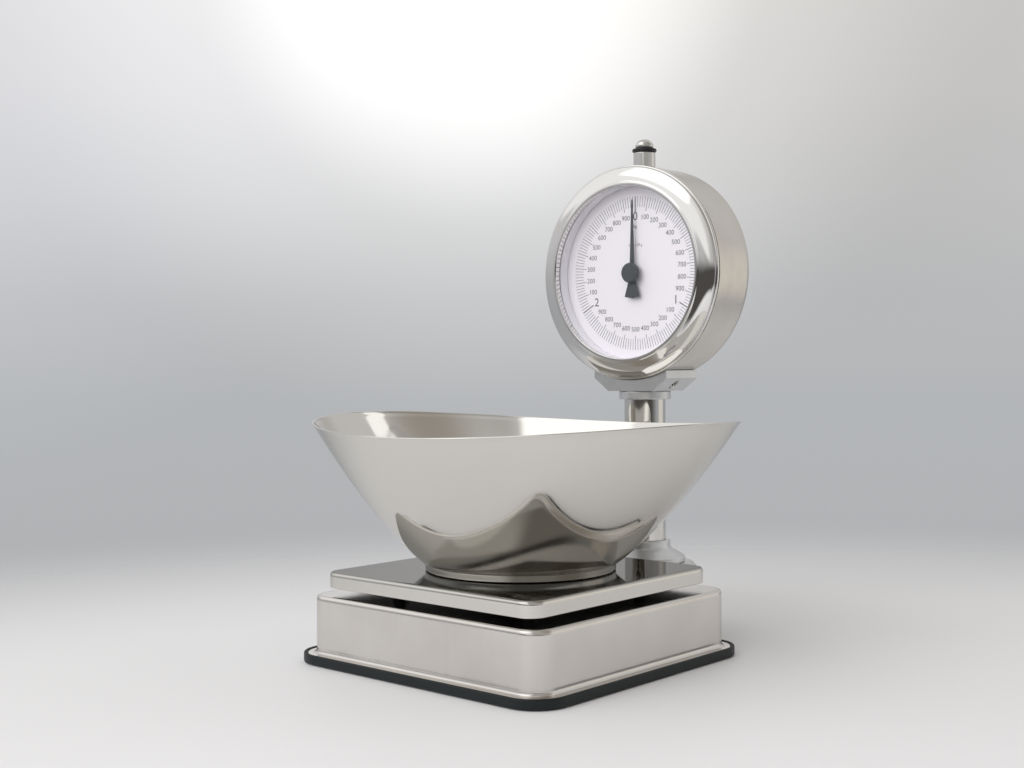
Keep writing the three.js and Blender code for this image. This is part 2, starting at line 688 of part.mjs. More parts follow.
function makeRearBridge() {
  const front = movementPlateY + movementPlateThick + seatGap;
  const back = bridgeY + 1.5;
  const strap = box(-bridgeHalfWidth, bridgeHalfWidth, bridgeY, back, headZ - 6, headZ + 6);
  const legs = [-1, 1].map((side) => {
    const x = side * (bridgeHalfWidth - 0.75);
    return box(x - 0.75, x + 0.75, front, back, headZ - 6, headZ + 6);
  });
  const tabs = [-1, 1].map((side) => {
    const x = side * (bridgeHalfWidth + 4);
    return box(x - 5, x + 5, front, front + 1.5, headZ - 6, headZ + 6);
  });
  return cut(join(strap, ...legs, ...tabs), rodAlongY(arborRadius + 0.08, bridgeY - 1, back + 1, 0, headZ));
}

// ---------------------------------------------------------------- levers and links
const mainPinZ = mainLeverZ - pinRadius - seatGap;
const shortPinZ = shortLeverZ + leverThick + pinRadius + seatGap;

// A fork from two fulcrums at fulcrumX to a straight bar that ends just past the nose.
function makeLever(fulcrum, joinY, noseEndY, z) {
  const sense = Math.sign(noseEndY - fulcrum);
  const heel = fulcrum - sense * 5;
  const half = leverBar / 2;
  const outline = [
    [fulcrumX, heel], [fulcrumX, fulcrum + sense * 4], [half, joinY],
    [half, noseEndY], [-half, noseEndY], [-half, joinY],
    [-fulcrumX, fulcrum + sense * 4], [-fulcrumX, heel], [-fulcrumX + leverBar + 2, heel],
    [0, joinY - sense * 14], [fulcrumX - leverBar - 2, heel],
  ];
  return slab(polygon(sense > 0 ? outline : outline.reverse()), z, z + leverThick);
}

// A closed stirrup standing across the levers, in which their bars hang.
function makeStirrup(y, z0, z1) {
  const inside = leverBar / 2 + 1.5;
  const wall = 2;
  return cut(
    box(-inside - wall, inside + wall, y - 1.5, y + 1.5, z0 - hangGap - wall, z1 + hangGap + wall),
    box(-inside, inside, y - 2.5, y + 2.5, z0 - hangGap, z1 + hangGap),
  );
}

function makeDrawRod() {
  const stirrup = makeStirrup(noseY, mainLeverZ, mainLeverZ + leverThick);
  const foot = mainLeverZ + leverThick + hangGap + 1;
  return join(stirrup, rod(rodRadius, foot, rackFootZ - seatGap, 0, pillarY));
}

// ---------------------------------------------------------------- rack and pinion
const rackFootZ = headZ - 30;
const rackPitch = Math.PI * gearModule;
const rackPitchX = pinionPitch + 0.06; // a little further out than perfect mesh, for running clearance

// A true involute pinion with one tooth space centred on +X.
function makePinion() {
  const base = pinionPitch * Math.cos(pressureAngle);
  const root = pinionPitch - 1.25 * gearModule;
  const tip = pinionPitch + gearModule;
  const involute = (r) => {
    const turn = Math.acos(Math.min(1, base / r));
    return Math.tan(turn) - turn;
  };
  const halfTooth = Math.PI / (2 * pinionTeeth) - backlash / (2 * pinionPitch);
  const flank = [base, (base + pinionPitch) / 2, pinionPitch, (pinionPitch + tip) / 2, tip]
    .map((r) => [r, halfTooth + involute(pinionPitch) - involute(r)]);
  const shape = new THREE.Shape();
  for (let i = 0; i < pinionTeeth; i++) {
    const centre = ((2 * i + 1) * Math.PI) / pinionTeeth;
    const rootHalf = flank[0][1];
    const points = [
      [root, centre - rootHalf], ...flank.map(([r, a]) => [r, centre - a]),
      ...flank.map(([r, a]) => [r, centre + a]).reverse(), [root, centre + rootHalf],
    ];
    for (const [r, a] of points) {
      const x = r * Math.cos(a);
      const z = r * Math.sin(a);
      if (i === 0 && r === root && a < centre) shape.moveTo(x, z);
      else shape.lineTo(x, z);
    }
  }
  shape.closePath();
  const gear = upright(shape, pillarY - gearWidth / 2, pillarY + gearWidth / 2).translate([0, 0, headZ]);
  return cut(gear, rodAlongY(arborRadius + seatGap / 2, pillarY - 4, pillarY + 4, 0, headZ));
}

// The rack stands beside the pinion; its foot sits on top of the draw rod.
function makeRack() {
  const low = headZ - 6;
  const teeth = Math.ceil((rodTravel + 12) / rackPitch);
  const slope = Math.tan(pressureAngle) * gearModule;
  const halfTooth = rackPitch / 4 - backlash / 2;
  const firstTooth = headZ - rackPitch * Math.round((headZ - low) / rackPitch);
  const backX = rackPitchX + rackWidth;
  const outline = [[backX, rackFootZ], [backX, firstTooth + teeth * rackPitch]];
  const rootX = rackPitchX + 1.25 * gearModule;
  const tipX = rackPitchX - gearModule;
  outline.push([rootX, firstTooth + teeth * rackPitch]);
  for (let i = teeth - 1; i >= 0; i--) {
    const z = firstTooth + i * rackPitch;
    outline.push([rootX, z + halfTooth + 1.25 * slope], [tipX, z + halfTooth - slope]);
    outline.push([tipX, z - halfTooth + slope], [rootX, z - halfTooth - 1.25 * slope]);
  }
  outline.push([rootX, rackFootZ + 5], [-3, rackFootZ + 5], [-3, rackFootZ]);
  return upright(polygon(outline), pillarY - gearWidth / 2, pillarY + gearWidth / 2);
}

// ---------------------------------------------------------------- springs
class Helix extends THREE.Curve {
  constructor(x, z0, z1) {
    super();
    Object.assign(this, { x, z0, z1 });
  }

  getPoint(t, target = new THREE.Vector3()) {
    const a = 2 * Math.PI * springTurns * t;
    return target.set(this.x + springRadius * Math.cos(a), pillarY + springRadius * Math.sin(a),
      this.z0 + (this.z1 - this.z0) * t);
  }
}

function makeSpring(side) {
  const low = springBarZ + barThick + seatGap + springWire / 2 + 0.3;
  const high = hangerZ - seatGap - springWire / 2 - 0.3;
  const section = new THREE.Shape().absarc(0, 0, springWire / 2, 0, 2 * Math.PI);
  return solid(new THREE.ExtrudeGeometry(section, {
    steps: springTurns * 8,
    curveSegments: 3,
    bevelEnabled: false,
    extrudePath: new Helix(side * springX, low, high),
  }));
}

// A cross bar that the springs hook on, with the hole for what holds it.
function makeCrossBar(z, hole) {
  const bar = box(-springX - 6, springX + 6, pillarY - 3, pillarY + 3, z, z + barThick);
  return cut(bar, rod(hole, z - 1, z + barThick + 1, 0, pillarY));
}

// ---------------------------------------------------------------- pointer
function makePointer() {
  const half = pointerRoot / 2;
  const neck = 2.8;
  const blade = upright(polygon([
    [half, 0], [0.25, pointerLength], [-0.25, pointerLength], [-half, 0], [-neck, -5],
    [-pointerTailWidth / 2, -pointerTail + 0.6], [0, -pointerTail],
    [pointerTailWidth / 2, -pointerTail + 0.6], [neck, -5],
  ]), pointerY, pointerY + pointerThick).translate([0, 0, headZ]);
  return cut(blade, rodAlongY(arborRadius + seatGap, pointerY - 1, pointerY + 3, 0, headZ));
}

function makePointerBoss() {
  const back = pointerY - seatGap;
  return turnedOnDial([[0, bossFrontY], [bossRadius - 0.5, bossFrontY], [bossRadius, bossFrontY + 0.5],
    [bossRadius, back], [0, back]], 32);
}

function makeArbor() {
  return rodAlongY(arborRadius, pointerY - seatGap + 0.25, bridgeY + 3, 0, headZ);
}

// ---------------------------------------------------------------- zero knob
const knobCollarTopZ = drumTopZ + knobCollarHeight;
const knobRingZ = knobCollarTopZ + seatGap;
const knobCapZ = knobRingZ + knobRingThick + seatGap;

function makeKnobCollar() {
  const tube = turned([
    [zeroScrewRadius + runGap, drumTopZ - 3], [knobCollarRadius, drumTopZ - 3],
    [knobCollarRadius, knobCollarTopZ - 0.6],
    [knobCollarRadius - 0.6, knobCollarTopZ], [zeroScrewRadius + runGap, knobCollarTopZ],
  ], 32).translate([0, pillarY, 0]);
  return cut(tube, rodAlongY(drumRadius + seatGap, drumFrontY, drumRearY, 0, headZ, 96));
}

function makeKnobRing() {
  const top = knobRingZ + knobRingThick;
  const bore = zeroScrewRadius + seatGap;
  return turned([
    [bore, knobRingZ], [knobRingRadius - 0.7, knobRingZ], [knobRingRadius, knobRingZ + 0.7],
    [knobRingRadius, top - 0.7], [knobRingRadius - 0.7, top], [bore, top],
  ], 32).translate([0, pillarY, 0]);
}

function makeKnobCap() {
  const steps = 6;
  const dome = Array.from({ length: steps + 1 }, (_, i) => {
    const a = (i / steps) * (Math.PI / 2);
    return [knobCapRadius * Math.cos(a), knobCapZ + knobCapRadius * Math.sin(a)];
  });
  dome[steps][0] = 0;
  return turned([[0, knobCapZ], ...dome], 32).translate([0, pillarY, 0]);
}

function makeZeroScrew() {
  return rod(zeroScrewRadius, hangerZ - 4, knobCapZ - seatGap, 0, pillarY);
}

// ---------------------------------------------------------------- the scale
const scale = new THREE.Group();
scale.position.y = -originShiftY;

function add(name, manifold, material) {
  const mesh = new THREE.Mesh(geometryOf(manifold), material);
  mesh.name = name;
  scale.add(mesh);
}

const sides = [["left", -1], ["right", 1]];

add("base_shell", makeBaseShell(), polishedSteel);
add("base_trim", makeBaseTrim(), blackRubber);
add("base_plate", makeBasePlate(), zincSteel);
add("front_bearing", makeBearing(-fulcrumY, mainPinZ), zincSteel);
add("rear_bearing", makeBearing(fulcrumY, shortPinZ), zincSteel);
bearingScrews.forEach(([x, y], i) => {
  add(`bearing_screw_${i + 1}`, makeScrewUp(x, y, plateZ - seatGap, 6), zincSteel);
});
add("pillar_foot", makePillarFoot(), castSilver);
add("foot_cover", makeFootCover(), zincSteel);
add("rear_pad", makeRearPad(), blackRubber);
add("foot_collar", makeFootCollar(), castSilver);
add("pillar_tube", makePillar(), chrome);
for (const [word, side] of sides) {
  const x = side * footScrewX;
  const headFaceY = shellRearY - sheet - seatGap;
  const screw = join(
    rodAlongY(screwHeadRadius, headFaceY - screwHeadThick, headFaceY, x, footScrewZ),
    rodAlongY(screwRadius, headFaceY - 0.5, shellRearY + 8, x, footScrewZ),
  );
  add(`foot_screw_${word}`, screw, zincSteel);
}

add("head_collar", makeHeadCollar(), castSilver);
add("head_bracket", makeHeadBracket(), castSilver);
for (const [word, side] of sides) {
  add(`clamp_screw_${word}`, makeClampScrew(side), zincSteel);
  add(`drum_screw_${word}`, makeDrumScrew(side), zincSteel);
}
add("drum", makeDrum(), satinSteel);
add("rear_cover", makeRearCover(), satinSteel);
coverScrews.forEach(([x, z], i) => add(`cover_screw_${i + 1}`, makeCoverScrew(x, z), zincSteel));
add("bezel", makeBezel(), polishedSteel);
add("lens", makeLens(), clearPlastic);
add("spacer_ring", makeSpacerRing(), dialWhite);
add("dial_plate", makeDialPlate(), dialWhite);
add("movement_plate", makeMovementPlate(), zincSteel);
add("arbor_bush", makeArborBush(), brass);
add("rear_bridge", makeRearBridge(), zincSteel);
add("knob_collar", makeKnobCollar(), chrome);

add("platform_tray", makePlatformTray(), polishedSteel);
add("platform_frame", makePlatformFrame(), darkPaint);
add("bowl", makeBowl(), polishedSteel);

const rodHalf = fulcrumX + 5;
add("main_lever", makeLever(-fulcrumY, -8, noseY + 6, mainLeverZ), zincSteel);
add("main_fulcrum_rod", rodAlongX(pinRadius, -rodHalf, rodHalf, -fulcrumY, mainPinZ), zincSteel);
add("main_load_rod", rodAlongX(pinRadius, -rodHalf, rodHalf, -fulcrumY + loadArm, mainPinZ), zincSteel);
add("short_lever", makeLever(fulcrumY, 8, -5, shortLeverZ), zincSteel);
for (const [word, side] of sides) {
  const [x0, x1] = side > 0 ? [fulcrumX - 12, rodHalf] : [-rodHalf, -fulcrumX + 12];
  add(`short_fulcrum_pin_${word}`, rodAlongX(pinRadius, x0, x1, fulcrumY, shortPinZ), zincSteel);
  const [a, b] = side > 0 ? [postX - 16, postX + 5] : [-postX - 5, -postX + 16];
  add(`short_load_pin_${word}`, rodAlongX(pinRadius, a, b, fulcrumY - loadArm, shortPinZ), zincSteel);
}
add("centre_link", makeStirrup(0, shortLeverZ, mainLeverZ + leverThick), zincSteel);

add("draw_rod", makeDrawRod(), zincSteel);
add("rack", makeRack(), brass);
add("spring_bar", makeCrossBar(springBarZ, rodRadius + seatGap), zincSteel);
add("spring_hanger", makeCrossBar(hangerZ, zeroScrewRadius + seatGap), zincSteel);
for (const [word, side] of sides) add(`load_spring_${word}`, makeSpring(side), springSteel);

add("pointer", makePointer(), greyPlastic);
add("pointer_boss", makePointerBoss(), greyPlastic);
add("pointer_arbor", makeArbor(), zincSteel);
add("pinion", makePinion(), brass);

add("knob_ring", makeKnobRing(), blackPlastic);
add("knob_cap", makeKnobCap(), chrome);
add("zero_screw", makeZeroScrew(), zincSteel);

export default scale;
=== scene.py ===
import json
import math

import bmesh
import bpy
import numpy as np
from mathutils import Matrix, Vector


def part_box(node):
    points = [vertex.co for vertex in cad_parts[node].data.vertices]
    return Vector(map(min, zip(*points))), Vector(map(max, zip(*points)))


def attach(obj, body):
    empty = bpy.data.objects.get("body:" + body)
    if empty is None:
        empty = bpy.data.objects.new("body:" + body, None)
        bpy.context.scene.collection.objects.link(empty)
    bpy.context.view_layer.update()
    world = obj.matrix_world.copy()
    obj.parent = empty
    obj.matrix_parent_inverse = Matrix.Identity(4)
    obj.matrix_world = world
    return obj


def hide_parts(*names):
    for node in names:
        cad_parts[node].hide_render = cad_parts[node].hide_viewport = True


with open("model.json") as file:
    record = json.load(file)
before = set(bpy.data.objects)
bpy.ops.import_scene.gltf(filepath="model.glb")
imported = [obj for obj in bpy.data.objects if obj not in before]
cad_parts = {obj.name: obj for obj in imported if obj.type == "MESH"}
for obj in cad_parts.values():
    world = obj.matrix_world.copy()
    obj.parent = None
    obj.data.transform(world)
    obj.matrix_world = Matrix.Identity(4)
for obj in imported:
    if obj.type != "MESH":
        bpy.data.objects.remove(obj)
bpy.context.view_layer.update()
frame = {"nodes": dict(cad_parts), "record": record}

nodes = frame["nodes"]
mm = 0.001
print("frame loaded:", len(nodes), "nodes")


def span(node):
    low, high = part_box(node)
    return low, high, (low + high) / 2


def newMaterial(name, settings):
    mat = bpy.data.materials.new(name)
    mat.use_nodes = True
    shader = mat.node_tree.nodes["Principled BSDF"]
    for socket, value in settings.items():
        shader.inputs[socket].default_value = (*value, 1) if isinstance(value, tuple) else value
    return mat, mat.node_tree, shader


def noiseAt(tree, scale, stretch=(1, 1, 1), detail=3.0, turn=(0, 0, 0), source="Object"):
    coords = tree.nodes.new("ShaderNodeTexCoord")
    mapping = tree.nodes.new("ShaderNodeMapping")
    mapping.inputs["Scale"].default_value = stretch
    mapping.inputs["Rotation"].default_value = turn
    noise = tree.nodes.new("ShaderNodeTexNoise")
    noise.inputs["Scale"].default_value = scale
    noise.inputs["Detail"].default_value = detail
    tree.links.new(coords.outputs[source], mapping.inputs["Vector"])
    tree.links.new(mapping.outputs["Vector"], noise.inputs["Vector"])
    return noise.outputs["Fac"]


def remap(tree, value, fromLow, fromHigh, toLow, toHigh, shape="LINEAR"):
    node = tree.nodes.new("ShaderNodeMapRange")
    node.interpolation_type = shape
    tree.links.new(value, node.inputs["Value"])
    for name, number in zip(("From Min", "From Max", "To Min", "To Max"), (fromLow, fromHigh, toLow, toHigh)):
        node.inputs[name].default_value = number
    return node.outputs["Result"]


def calc(tree, first, second, operation="ADD"):
    node = tree.nodes.new("ShaderNodeMath")
    node.operation = operation
    for value, socket in ((first, node.inputs[0]), (second, node.inputs[1])):
        if isinstance(value, (int, float)):
            socket.default_value = value
        else:
            tree.links.new(value, socket)
    return node.outputs[0]


def tint(tree, factor, colorA, colorB):
    node = tree.nodes.new("ShaderNodeMix")
    node.data_type = "RGBA"
    tree.links.new(factor, node.inputs["Factor"])
    node.inputs["A"].default_value = (*colorA, 1)
    node.inputs["B"].default_value = (*colorB, 1)
    return node.outputs["Result"]


def bumpInto(tree, shader, height, strength, distance):
    bump = tree.nodes.new("ShaderNodeBump")
    bump.inputs["Strength"].default_value = strength
    bump.inputs["Distance"].default_value = distance
    tree.links.new(height, bump.inputs["Height"])
    tree.links.new(bump.outputs["Normal"], shader.inputs["Normal"])


# a colour multiplied by a number that changes over the piece
def shaded(tree, color, factor):
    node = tree.nodes.new("ShaderNodeMix")
    node.data_type = "RGBA"
    node.blend_type = "MULTIPLY"
    node.inputs["Factor"].default_value = 1.0
    if isinstance(color, tuple):
        node.inputs["A"].default_value = (*color, 1)
    else:
        tree.links.new(color, node.inputs["A"])
    tree.links.new(factor, node.inputs["B"])
    return node.outputs["Result"]


# sheet metal: a fine grain drawn out one way, cloudy wipe marks in the gloss, and a very shallow waviness
def sheetMetal(name, look):
    mat, tree, shader = newMaterial(name, {"Metallic": 1.0, "Specular Tint": (look.get("slant", 0.85),) * 3})
    cloud = noiseAt(tree, look["cloud"], detail=4)
    grain = noiseAt(tree, look["grain"], look["stretch"], 2, source=look.get("source", "Object"))
    marks = noiseAt(tree, look["cloud"] * 6, (1, 1, 0.3), 6, (0.4, 0.2, 0.7))
    gloss = calc(tree, remap(tree, cloud, 0.3, 0.7, *look["rough"]),
                 remap(tree, marks, 0.55, 0.75, 0.0, look["smear"]))
    gloss = calc(tree, gloss, remap(tree, grain, 0.3, 0.7, -look["grainGloss"], look["grainGloss"]))
    tree.links.new(gloss, shader.inputs["Roughness"])
    tone = tint(tree, cloud, look["color"], look["shade"])
    if "paintedTopShade" in look:  # painted shade: the flat top's colour and gloss are dimmed below the turned-down sides, standing in for the dark reflection of the bowl's underside
        split = tree.nodes.new("ShaderNodeSeparateXYZ")
        coords = tree.nodes.new("ShaderNodeTexCoord")
        tree.links.new(coords.outputs["Object"], split.inputs[0])
        paintedShade = remap(tree, split.outputs["Z"], *look["topBand"], 1.0, look["paintedTopShade"])
        tone = shaded(tree, tone, paintedShade)
        tree.links.new(shaded(tree, (look["slant"],) * 3, paintedShade), shader.inputs["Specular Tint"])
    tree.links.new(tone, shader.inputs["Base Color"])
    wave = noiseAt(tree, look["wave"], detail=1)
    height = calc(tree, calc(tree, grain, look["grainDepth"], "MULTIPLY"),
                  calc(tree, wave, look["waveDepth"], "MULTIPLY"))
    bumpInto(tree, shader, height, 1.0, 0.001)
    return mat


# moulded or painted: a fine pebbled skin with slow changes of tone
def plainSkin(name, look):
    mat, tree, shader = newMaterial(name, {"Specular IOR Level": look.get("shine", 0.5)})
    cloud = noiseAt(tree, look["cloud"], detail=3)
    pebble = noiseAt(tree, look["pebble"], detail=2)
    tree.links.new(tint(tree, cloud, look["color"], look["shade"]), shader.inputs["Base Color"])
    tree.links.new(remap(tree, pebble, 0.3, 0.7, *look["rough"]), shader.inputs["Roughness"])
    bumpInto(tree, shader, pebble, look["depth"], 0.0002)
    return mat


bowlSteel = sheetMetal("bowlSteel", {
    "color": (0.74, 0.725, 0.69), "shade": (0.69, 0.675, 0.64),
    "rough": (0.045, 0.09), "cloud": 9.0, "smear": 0.04,
    "grain": 90.0, "stretch": (0.02, 1.0, 1.0), "source": "UV", "grainGloss": 0.02, "grainDepth": 0.006,
    "wave": 14.0, "waveDepth": 0.12,
})
shellSteel = sheetMetal("shellSteel", {
    "color": (0.76, 0.735, 0.705), "shade": (0.62, 0.592, 0.562),
    "rough": (0.12, 0.22), "cloud": 22.0, "smear": 0.06,
    "grain": 500.0, "stretch": (1.0, 1.0, 0.04), "grainGloss": 0.02, "grainDepth": 0.006,
    "wave": 30.0, "waveDepth": 0.16,
})
# painted shade: the tray's flat top is given a darker tone and dimmer gloss than its sides, standing in for
# the bowl's dark underside reflected in it
topSteel = sheetMetal("topSteel", {
    "color": (0.70, 0.685, 0.65), "shade": (0.66, 0.645, 0.61), "paintedTopShade": 0.60, "topBand": (0.0531, 0.0543),
    "rough": (0.04, 0.09), "cloud": 18.0, "smear": 0.05,
    "grain": 400.0, "stretch": (0.05, 1.0, 1.0), "grainGloss": 0.015, "grainDepth": 0.003,
    "wave": 20.0, "waveDepth": 0.05, "slant": 0.82,
})
bezelSteel = sheetMetal("bezelSteel", {
    "color": (0.78, 0.77, 0.76), "shade": (0.74, 0.73, 0.72),
    "rough": (0.03, 0.06), "cloud": 25.0, "smear": 0.03,
    "grain": 300.0, "stretch": (0.03, 1.0, 1.0), "source": "UV", "grainGloss": 0.01, "grainDepth": 0.002,
    "wave": 30.0, "waveDepth": 0.03,
})
drumSteel = sheetMetal("drumSteel", {
    "color": (0.74, 0.71, 0.67), "shade": (0.62, 0.59, 0.55),
    "rough": (0.11, 0.26), "cloud": 30.0, "smear": 0.08,
    "grain": 260.0, "stretch": (0.04, 1.0, 1.0), "source": "UV", "grainGloss": 0.03, "grainDepth": 0.010,
    "wave": 70.0, "waveDepth": 0.22,
})
brightChrome = sheetMetal("brightChrome", {
    "color": (0.70, 0.69, 0.67), "shade": (0.66, 0.65, 0.63),
    "rough": (0.03, 0.07), "cloud": 40.0, "smear": 0.03,
    "grain": 500.0, "stretch": (1.0, 1.0, 0.05), "grainGloss": 0.01, "grainDepth": 0.002,
    "wave": 30.0, "waveDepth": 0.02,
})
castSatin = sheetMetal("castSatin", {
    "color": (0.72, 0.73, 0.74), "shade": (0.64, 0.65, 0.66),
    "rough": (0.30, 0.42), "cloud": 60.0, "smear": 0.08,
    "grain": 1400.0, "stretch": (1.0, 1.0, 1.0), "grainGloss": 0.03, "grainDepth": 0.02,
    "wave": 120.0, "waveDepth": 0.05,
})
zincPlate = sheetMetal("zincPlate", {
    "color": (0.62, 0.63, 0.61), "shade": (0.48, 0.48, 0.45),
    "rough": (0.28, 0.45), "cloud": 50.0, "smear": 0.1,
    "grain": 900.0, "stretch": (1.0, 0.2, 1.0), "grainGloss": 0.04, "grainDepth": 0.02,
    "wave": 80.0, "waveDepth": 0.05,
})
springWire = sheetMetal("springWire", {
    "color": (0.30, 0.29, 0.29), "shade": (0.20, 0.19, 0.19),
    "rough": (0.25, 0.4), "cloud": 120.0, "smear": 0.1,
    "grain": 1500.0, "stretch": (1.0, 1.0, 0.2), "grainGloss": 0.03, "grainDepth": 0.02,
    "wave": 200.0, "waveDepth": 0.02,
})
turnedBrass = sheetMetal("turnedBrass", {
    "color": (0.72, 0.55, 0.24), "shade": (0.60, 0.44, 0.18),
    "rough": (0.18, 0.3), "cloud": 150.0, "smear": 0.1,
    "grain": 1800.0, "stretch": (1.0, 0.1, 1.0), "grainGloss": 0.03, "grainDepth": 0.01,
    "wave": 200.0, "waveDepth": 0.02,
})
blackRubber = plainSkin("blackRubber", {
    "color": (0.006, 0.009, 0.010), "shade": (0.010, 0.013, 0.015), "rough": (0.38, 0.55), "cloud": 40.0,
    "pebble": 2500.0, "depth": 0.5, "shine": 0.3,
})
blackPlastic = plainSkin("blackPlastic", {
    "color": (0.010, 0.011, 0.012), "shade": (0.02, 0.02, 0.022), "rough": (0.25, 0.35), "cloud": 80.0,
    "pebble": 3000.0, "depth": 0.2,
})
framePaint = plainSkin("framePaint", {
    "color": (0.012, 0.013, 0.015), "shade": (0.02, 0.021, 0.024), "rough": (0.5, 0.65), "cloud": 50.0,
    "pebble": 1500.0, "depth": 0.4,
})
pointerPlastic = plainSkin("pointerPlastic", {
    "color": (0.058, 0.068, 0.074), "shade": (0.072, 0.083, 0.09), "rough": (0.42, 0.55), "cloud": 120.0,
    "pebble": 3000.0, "depth": 0.3,
})
dialEnamel = plainSkin("dialEnamel", {
    "color": (0.92, 0.89, 0.94), "shade": (0.94, 0.91, 0.95), "rough": (0.34, 0.42), "cloud": 25.0,
    "pebble": 2500.0, "depth": 0.05,
})
wallEnamel = plainSkin("wallEnamel", {
    "color": (0.88, 0.87, 0.92), "shade": (0.91, 0.90, 0.94), "rough": (0.10, 0.16), "cloud": 30.0,
    "pebble": 1500.0, "depth": 0.05,
})
dialInk = plainSkin("dialInk", {
    "color": (0.085, 0.085, 0.10), "shade": (0.12, 0.12, 0.135), "rough": (0.45, 0.6), "cloud": 200.0,
    "pebble": 4000.0, "depth": 0.1,
})


def lensMaterial():
    # clear from every side, with a faint gloss that grows at a slant and a few smudges in it
    mat = bpy.data.materials.new("clearLens")
    mat.use_nodes = True
    tree = mat.node_tree
    tree.nodes.remove(tree.nodes["Principled BSDF"])
    clear = tree.nodes.new("ShaderNodeBsdfTransparent")
    clear.inputs["Color"].default_value = (0.985, 0.985, 0.99, 1)
    gloss = tree.nodes.new("ShaderNodeBsdfGlossy")
    gloss.inputs["Color"].default_value = (1, 1, 1, 1)
    smudge = noiseAt(tree, 30, detail=5)
    tree.links.new(remap(tree, smudge, 0.45, 0.8, 0.01, 0.08), gloss.inputs["Roughness"])
    slant = tree.nodes.new("ShaderNodeFresnel")
    slant.inputs["IOR"].default_value = 1.35
    both = tree.nodes.new("ShaderNodeMixShader")
    side = tree.nodes.new("ShaderNodeNewGeometry")
    front = calc(tree, 1.0, side.outputs["Backfacing"], "SUBTRACT")  # the far face adds no mirror of its own
    tree.links.new(calc(tree, slant.outputs["Fac"], front, "MULTIPLY"), both.inputs["Fac"])
    tree.links.new(clear.outputs["BSDF"], both.inputs[1])
    tree.links.new(gloss.outputs["BSDF"], both.inputs[2])
    tree.links.new(both.outputs["Shader"], tree.nodes["Material Output"].inputs["Surface"])
    return mat


clearLens = lensMaterial()
bySlot = {
    "polished_steel": shellSteel, "satin_steel": drumSteel, "chrome": brightChrome, "cast_silver": castSatin,
    "zinc_steel": zincPlate, "spring_steel": springWire, "brass": turnedBrass, "black_rubber": blackRubber,
    "black_plastic": blackPlastic, "dark_paint": framePaint, "grey_plastic": pointerPlastic,
    "dial_white": dialEnamel, "clear_plastic": clearLens,
}
slotOf = {part["node"]: part["material_slot"] for part in frame["record"]["subparts"]}
for name, node in nodes.items():
    node.data.materials.clear()
    node.data.materials.append(bySlot[slotOf[name]])
print("materials ready")


# every corner (a, b, fillet) of an outline is traded for a small curve, (1-t)^2 P + 2t(1-t) C + t^2 Q, where
# P and Q lie one fillet before and after the corner C, with one more point beside each end so that the flats
# stay flat
def softened(corners, closed, steps=6):
    data = np.array([(*c, 0.0)[:3] for c in corners], float) * mm
    points, fillet = data[:, :2], data[:, 2:]
    before = np.roll(points, 1, 0) - points
    after = np.roll(points, -1, 0) - points
    before /= np.maximum(np.linalg.norm(before, axis=1, keepdims=True), 1e-9)
    after /= np.maximum(np.linalg.norm(after, axis=1, keepdims=True), 1e-9)
    t = np.linspace(0, 1, steps)[None, :, None]
    start, end = points + before * fillet, points + after * fillet
    curve = (1 - t) ** 2 * start[:, None] + 2 * t * (1 - t) * points[:, None] + t ** 2 * end[:, None]
    lead = (start + before * fillet * 0.3)[:, None]
    tail = (end + after * fillet * 0.3)[:, None]
    line = np.concatenate([lead, curve, tail], 1).reshape(-1, 2)
    if not closed:  # the first and last corners stay as they are, on the axis
        keep = steps + 2
        line = np.concatenate([points[:1], line[keep:-keep], points[-1:]])
    far = np.linalg.norm(line - np.roll(line, 1, 0), axis=1) > 1e-7
    far[0] = True if not closed else far[0]
    return line[far]


# points[row, column] become one closed skin: columns always meet themselves, rows meet themselves when there
# are no poles, and a pole is one shared point that closes an end
def skin(name, points, poles, material, body, sharp=38.0):
    rows, columns = points.shape[:2]
    vertices = points.reshape(-1, 3)
    lastRow = rows if poles is None else rows - 1
    i, j = np.meshgrid(np.arange(lastRow), np.arange(columns), indexing="ij")
    nextI, nextJ = (i + 1) % rows, (j + 1) % columns
    quads = [i * columns + j, i * columns + nextJ, nextI * columns + nextJ, nextI * columns + j]
    quads = np.stack(quads, -1).reshape(-1, 4)
    step = np.linalg.norm(np.diff(points, axis=0, append=points[:1]), axis=2).mean(1)
    along = np.concatenate([[0], np.cumsum(step)])
    girth = np.linalg.norm(points - np.roll(points, 1, 1), axis=2).sum(1).max()
    u0, u1 = (j / columns * girth).ravel(), ((j + 1) / columns * girth).ravel()
    v0, v1 = along[i].ravel(), along[i + 1].ravel()
    uv = np.stack([u0, v0, u1, v0, u1, v1, u0, v1], -1).reshape(-1, 2)
    faces = quads.tolist()
    if poles is not None:
        first, last = len(vertices), len(vertices) + 1
        vertices = np.concatenate([vertices, np.array(poles, float)])
        ring = np.arange(columns)
        turned = (ring + 1) % columns
        base = (rows - 1) * columns
        faces += np.stack([turned, ring, np.full(columns, first)], -1).tolist()
        faces += np.stack([base + ring, base + turned, np.full(columns, last)], -1).tolist()
        flat = np.stack([(ring + 1) / columns * girth, ring * 0.0, ring / columns * girth, ring * 0.0,
                         (ring + 0.5) / columns * girth, ring * 0.0 - 0.01], -1)
        uv = np.concatenate([uv, flat.reshape(-1, 2), flat.reshape(-1, 2) + [0, along[-2]]])
    mesh = bpy.data.meshes.new(name)
    mesh.from_pydata(vertices, [], faces)
    layer = mesh.uv_layers.new(name="around")
    layer.data.foreach_set("uv", uv.ravel().astype(np.float32))
    return finished(name, mesh, material, body, sharp)


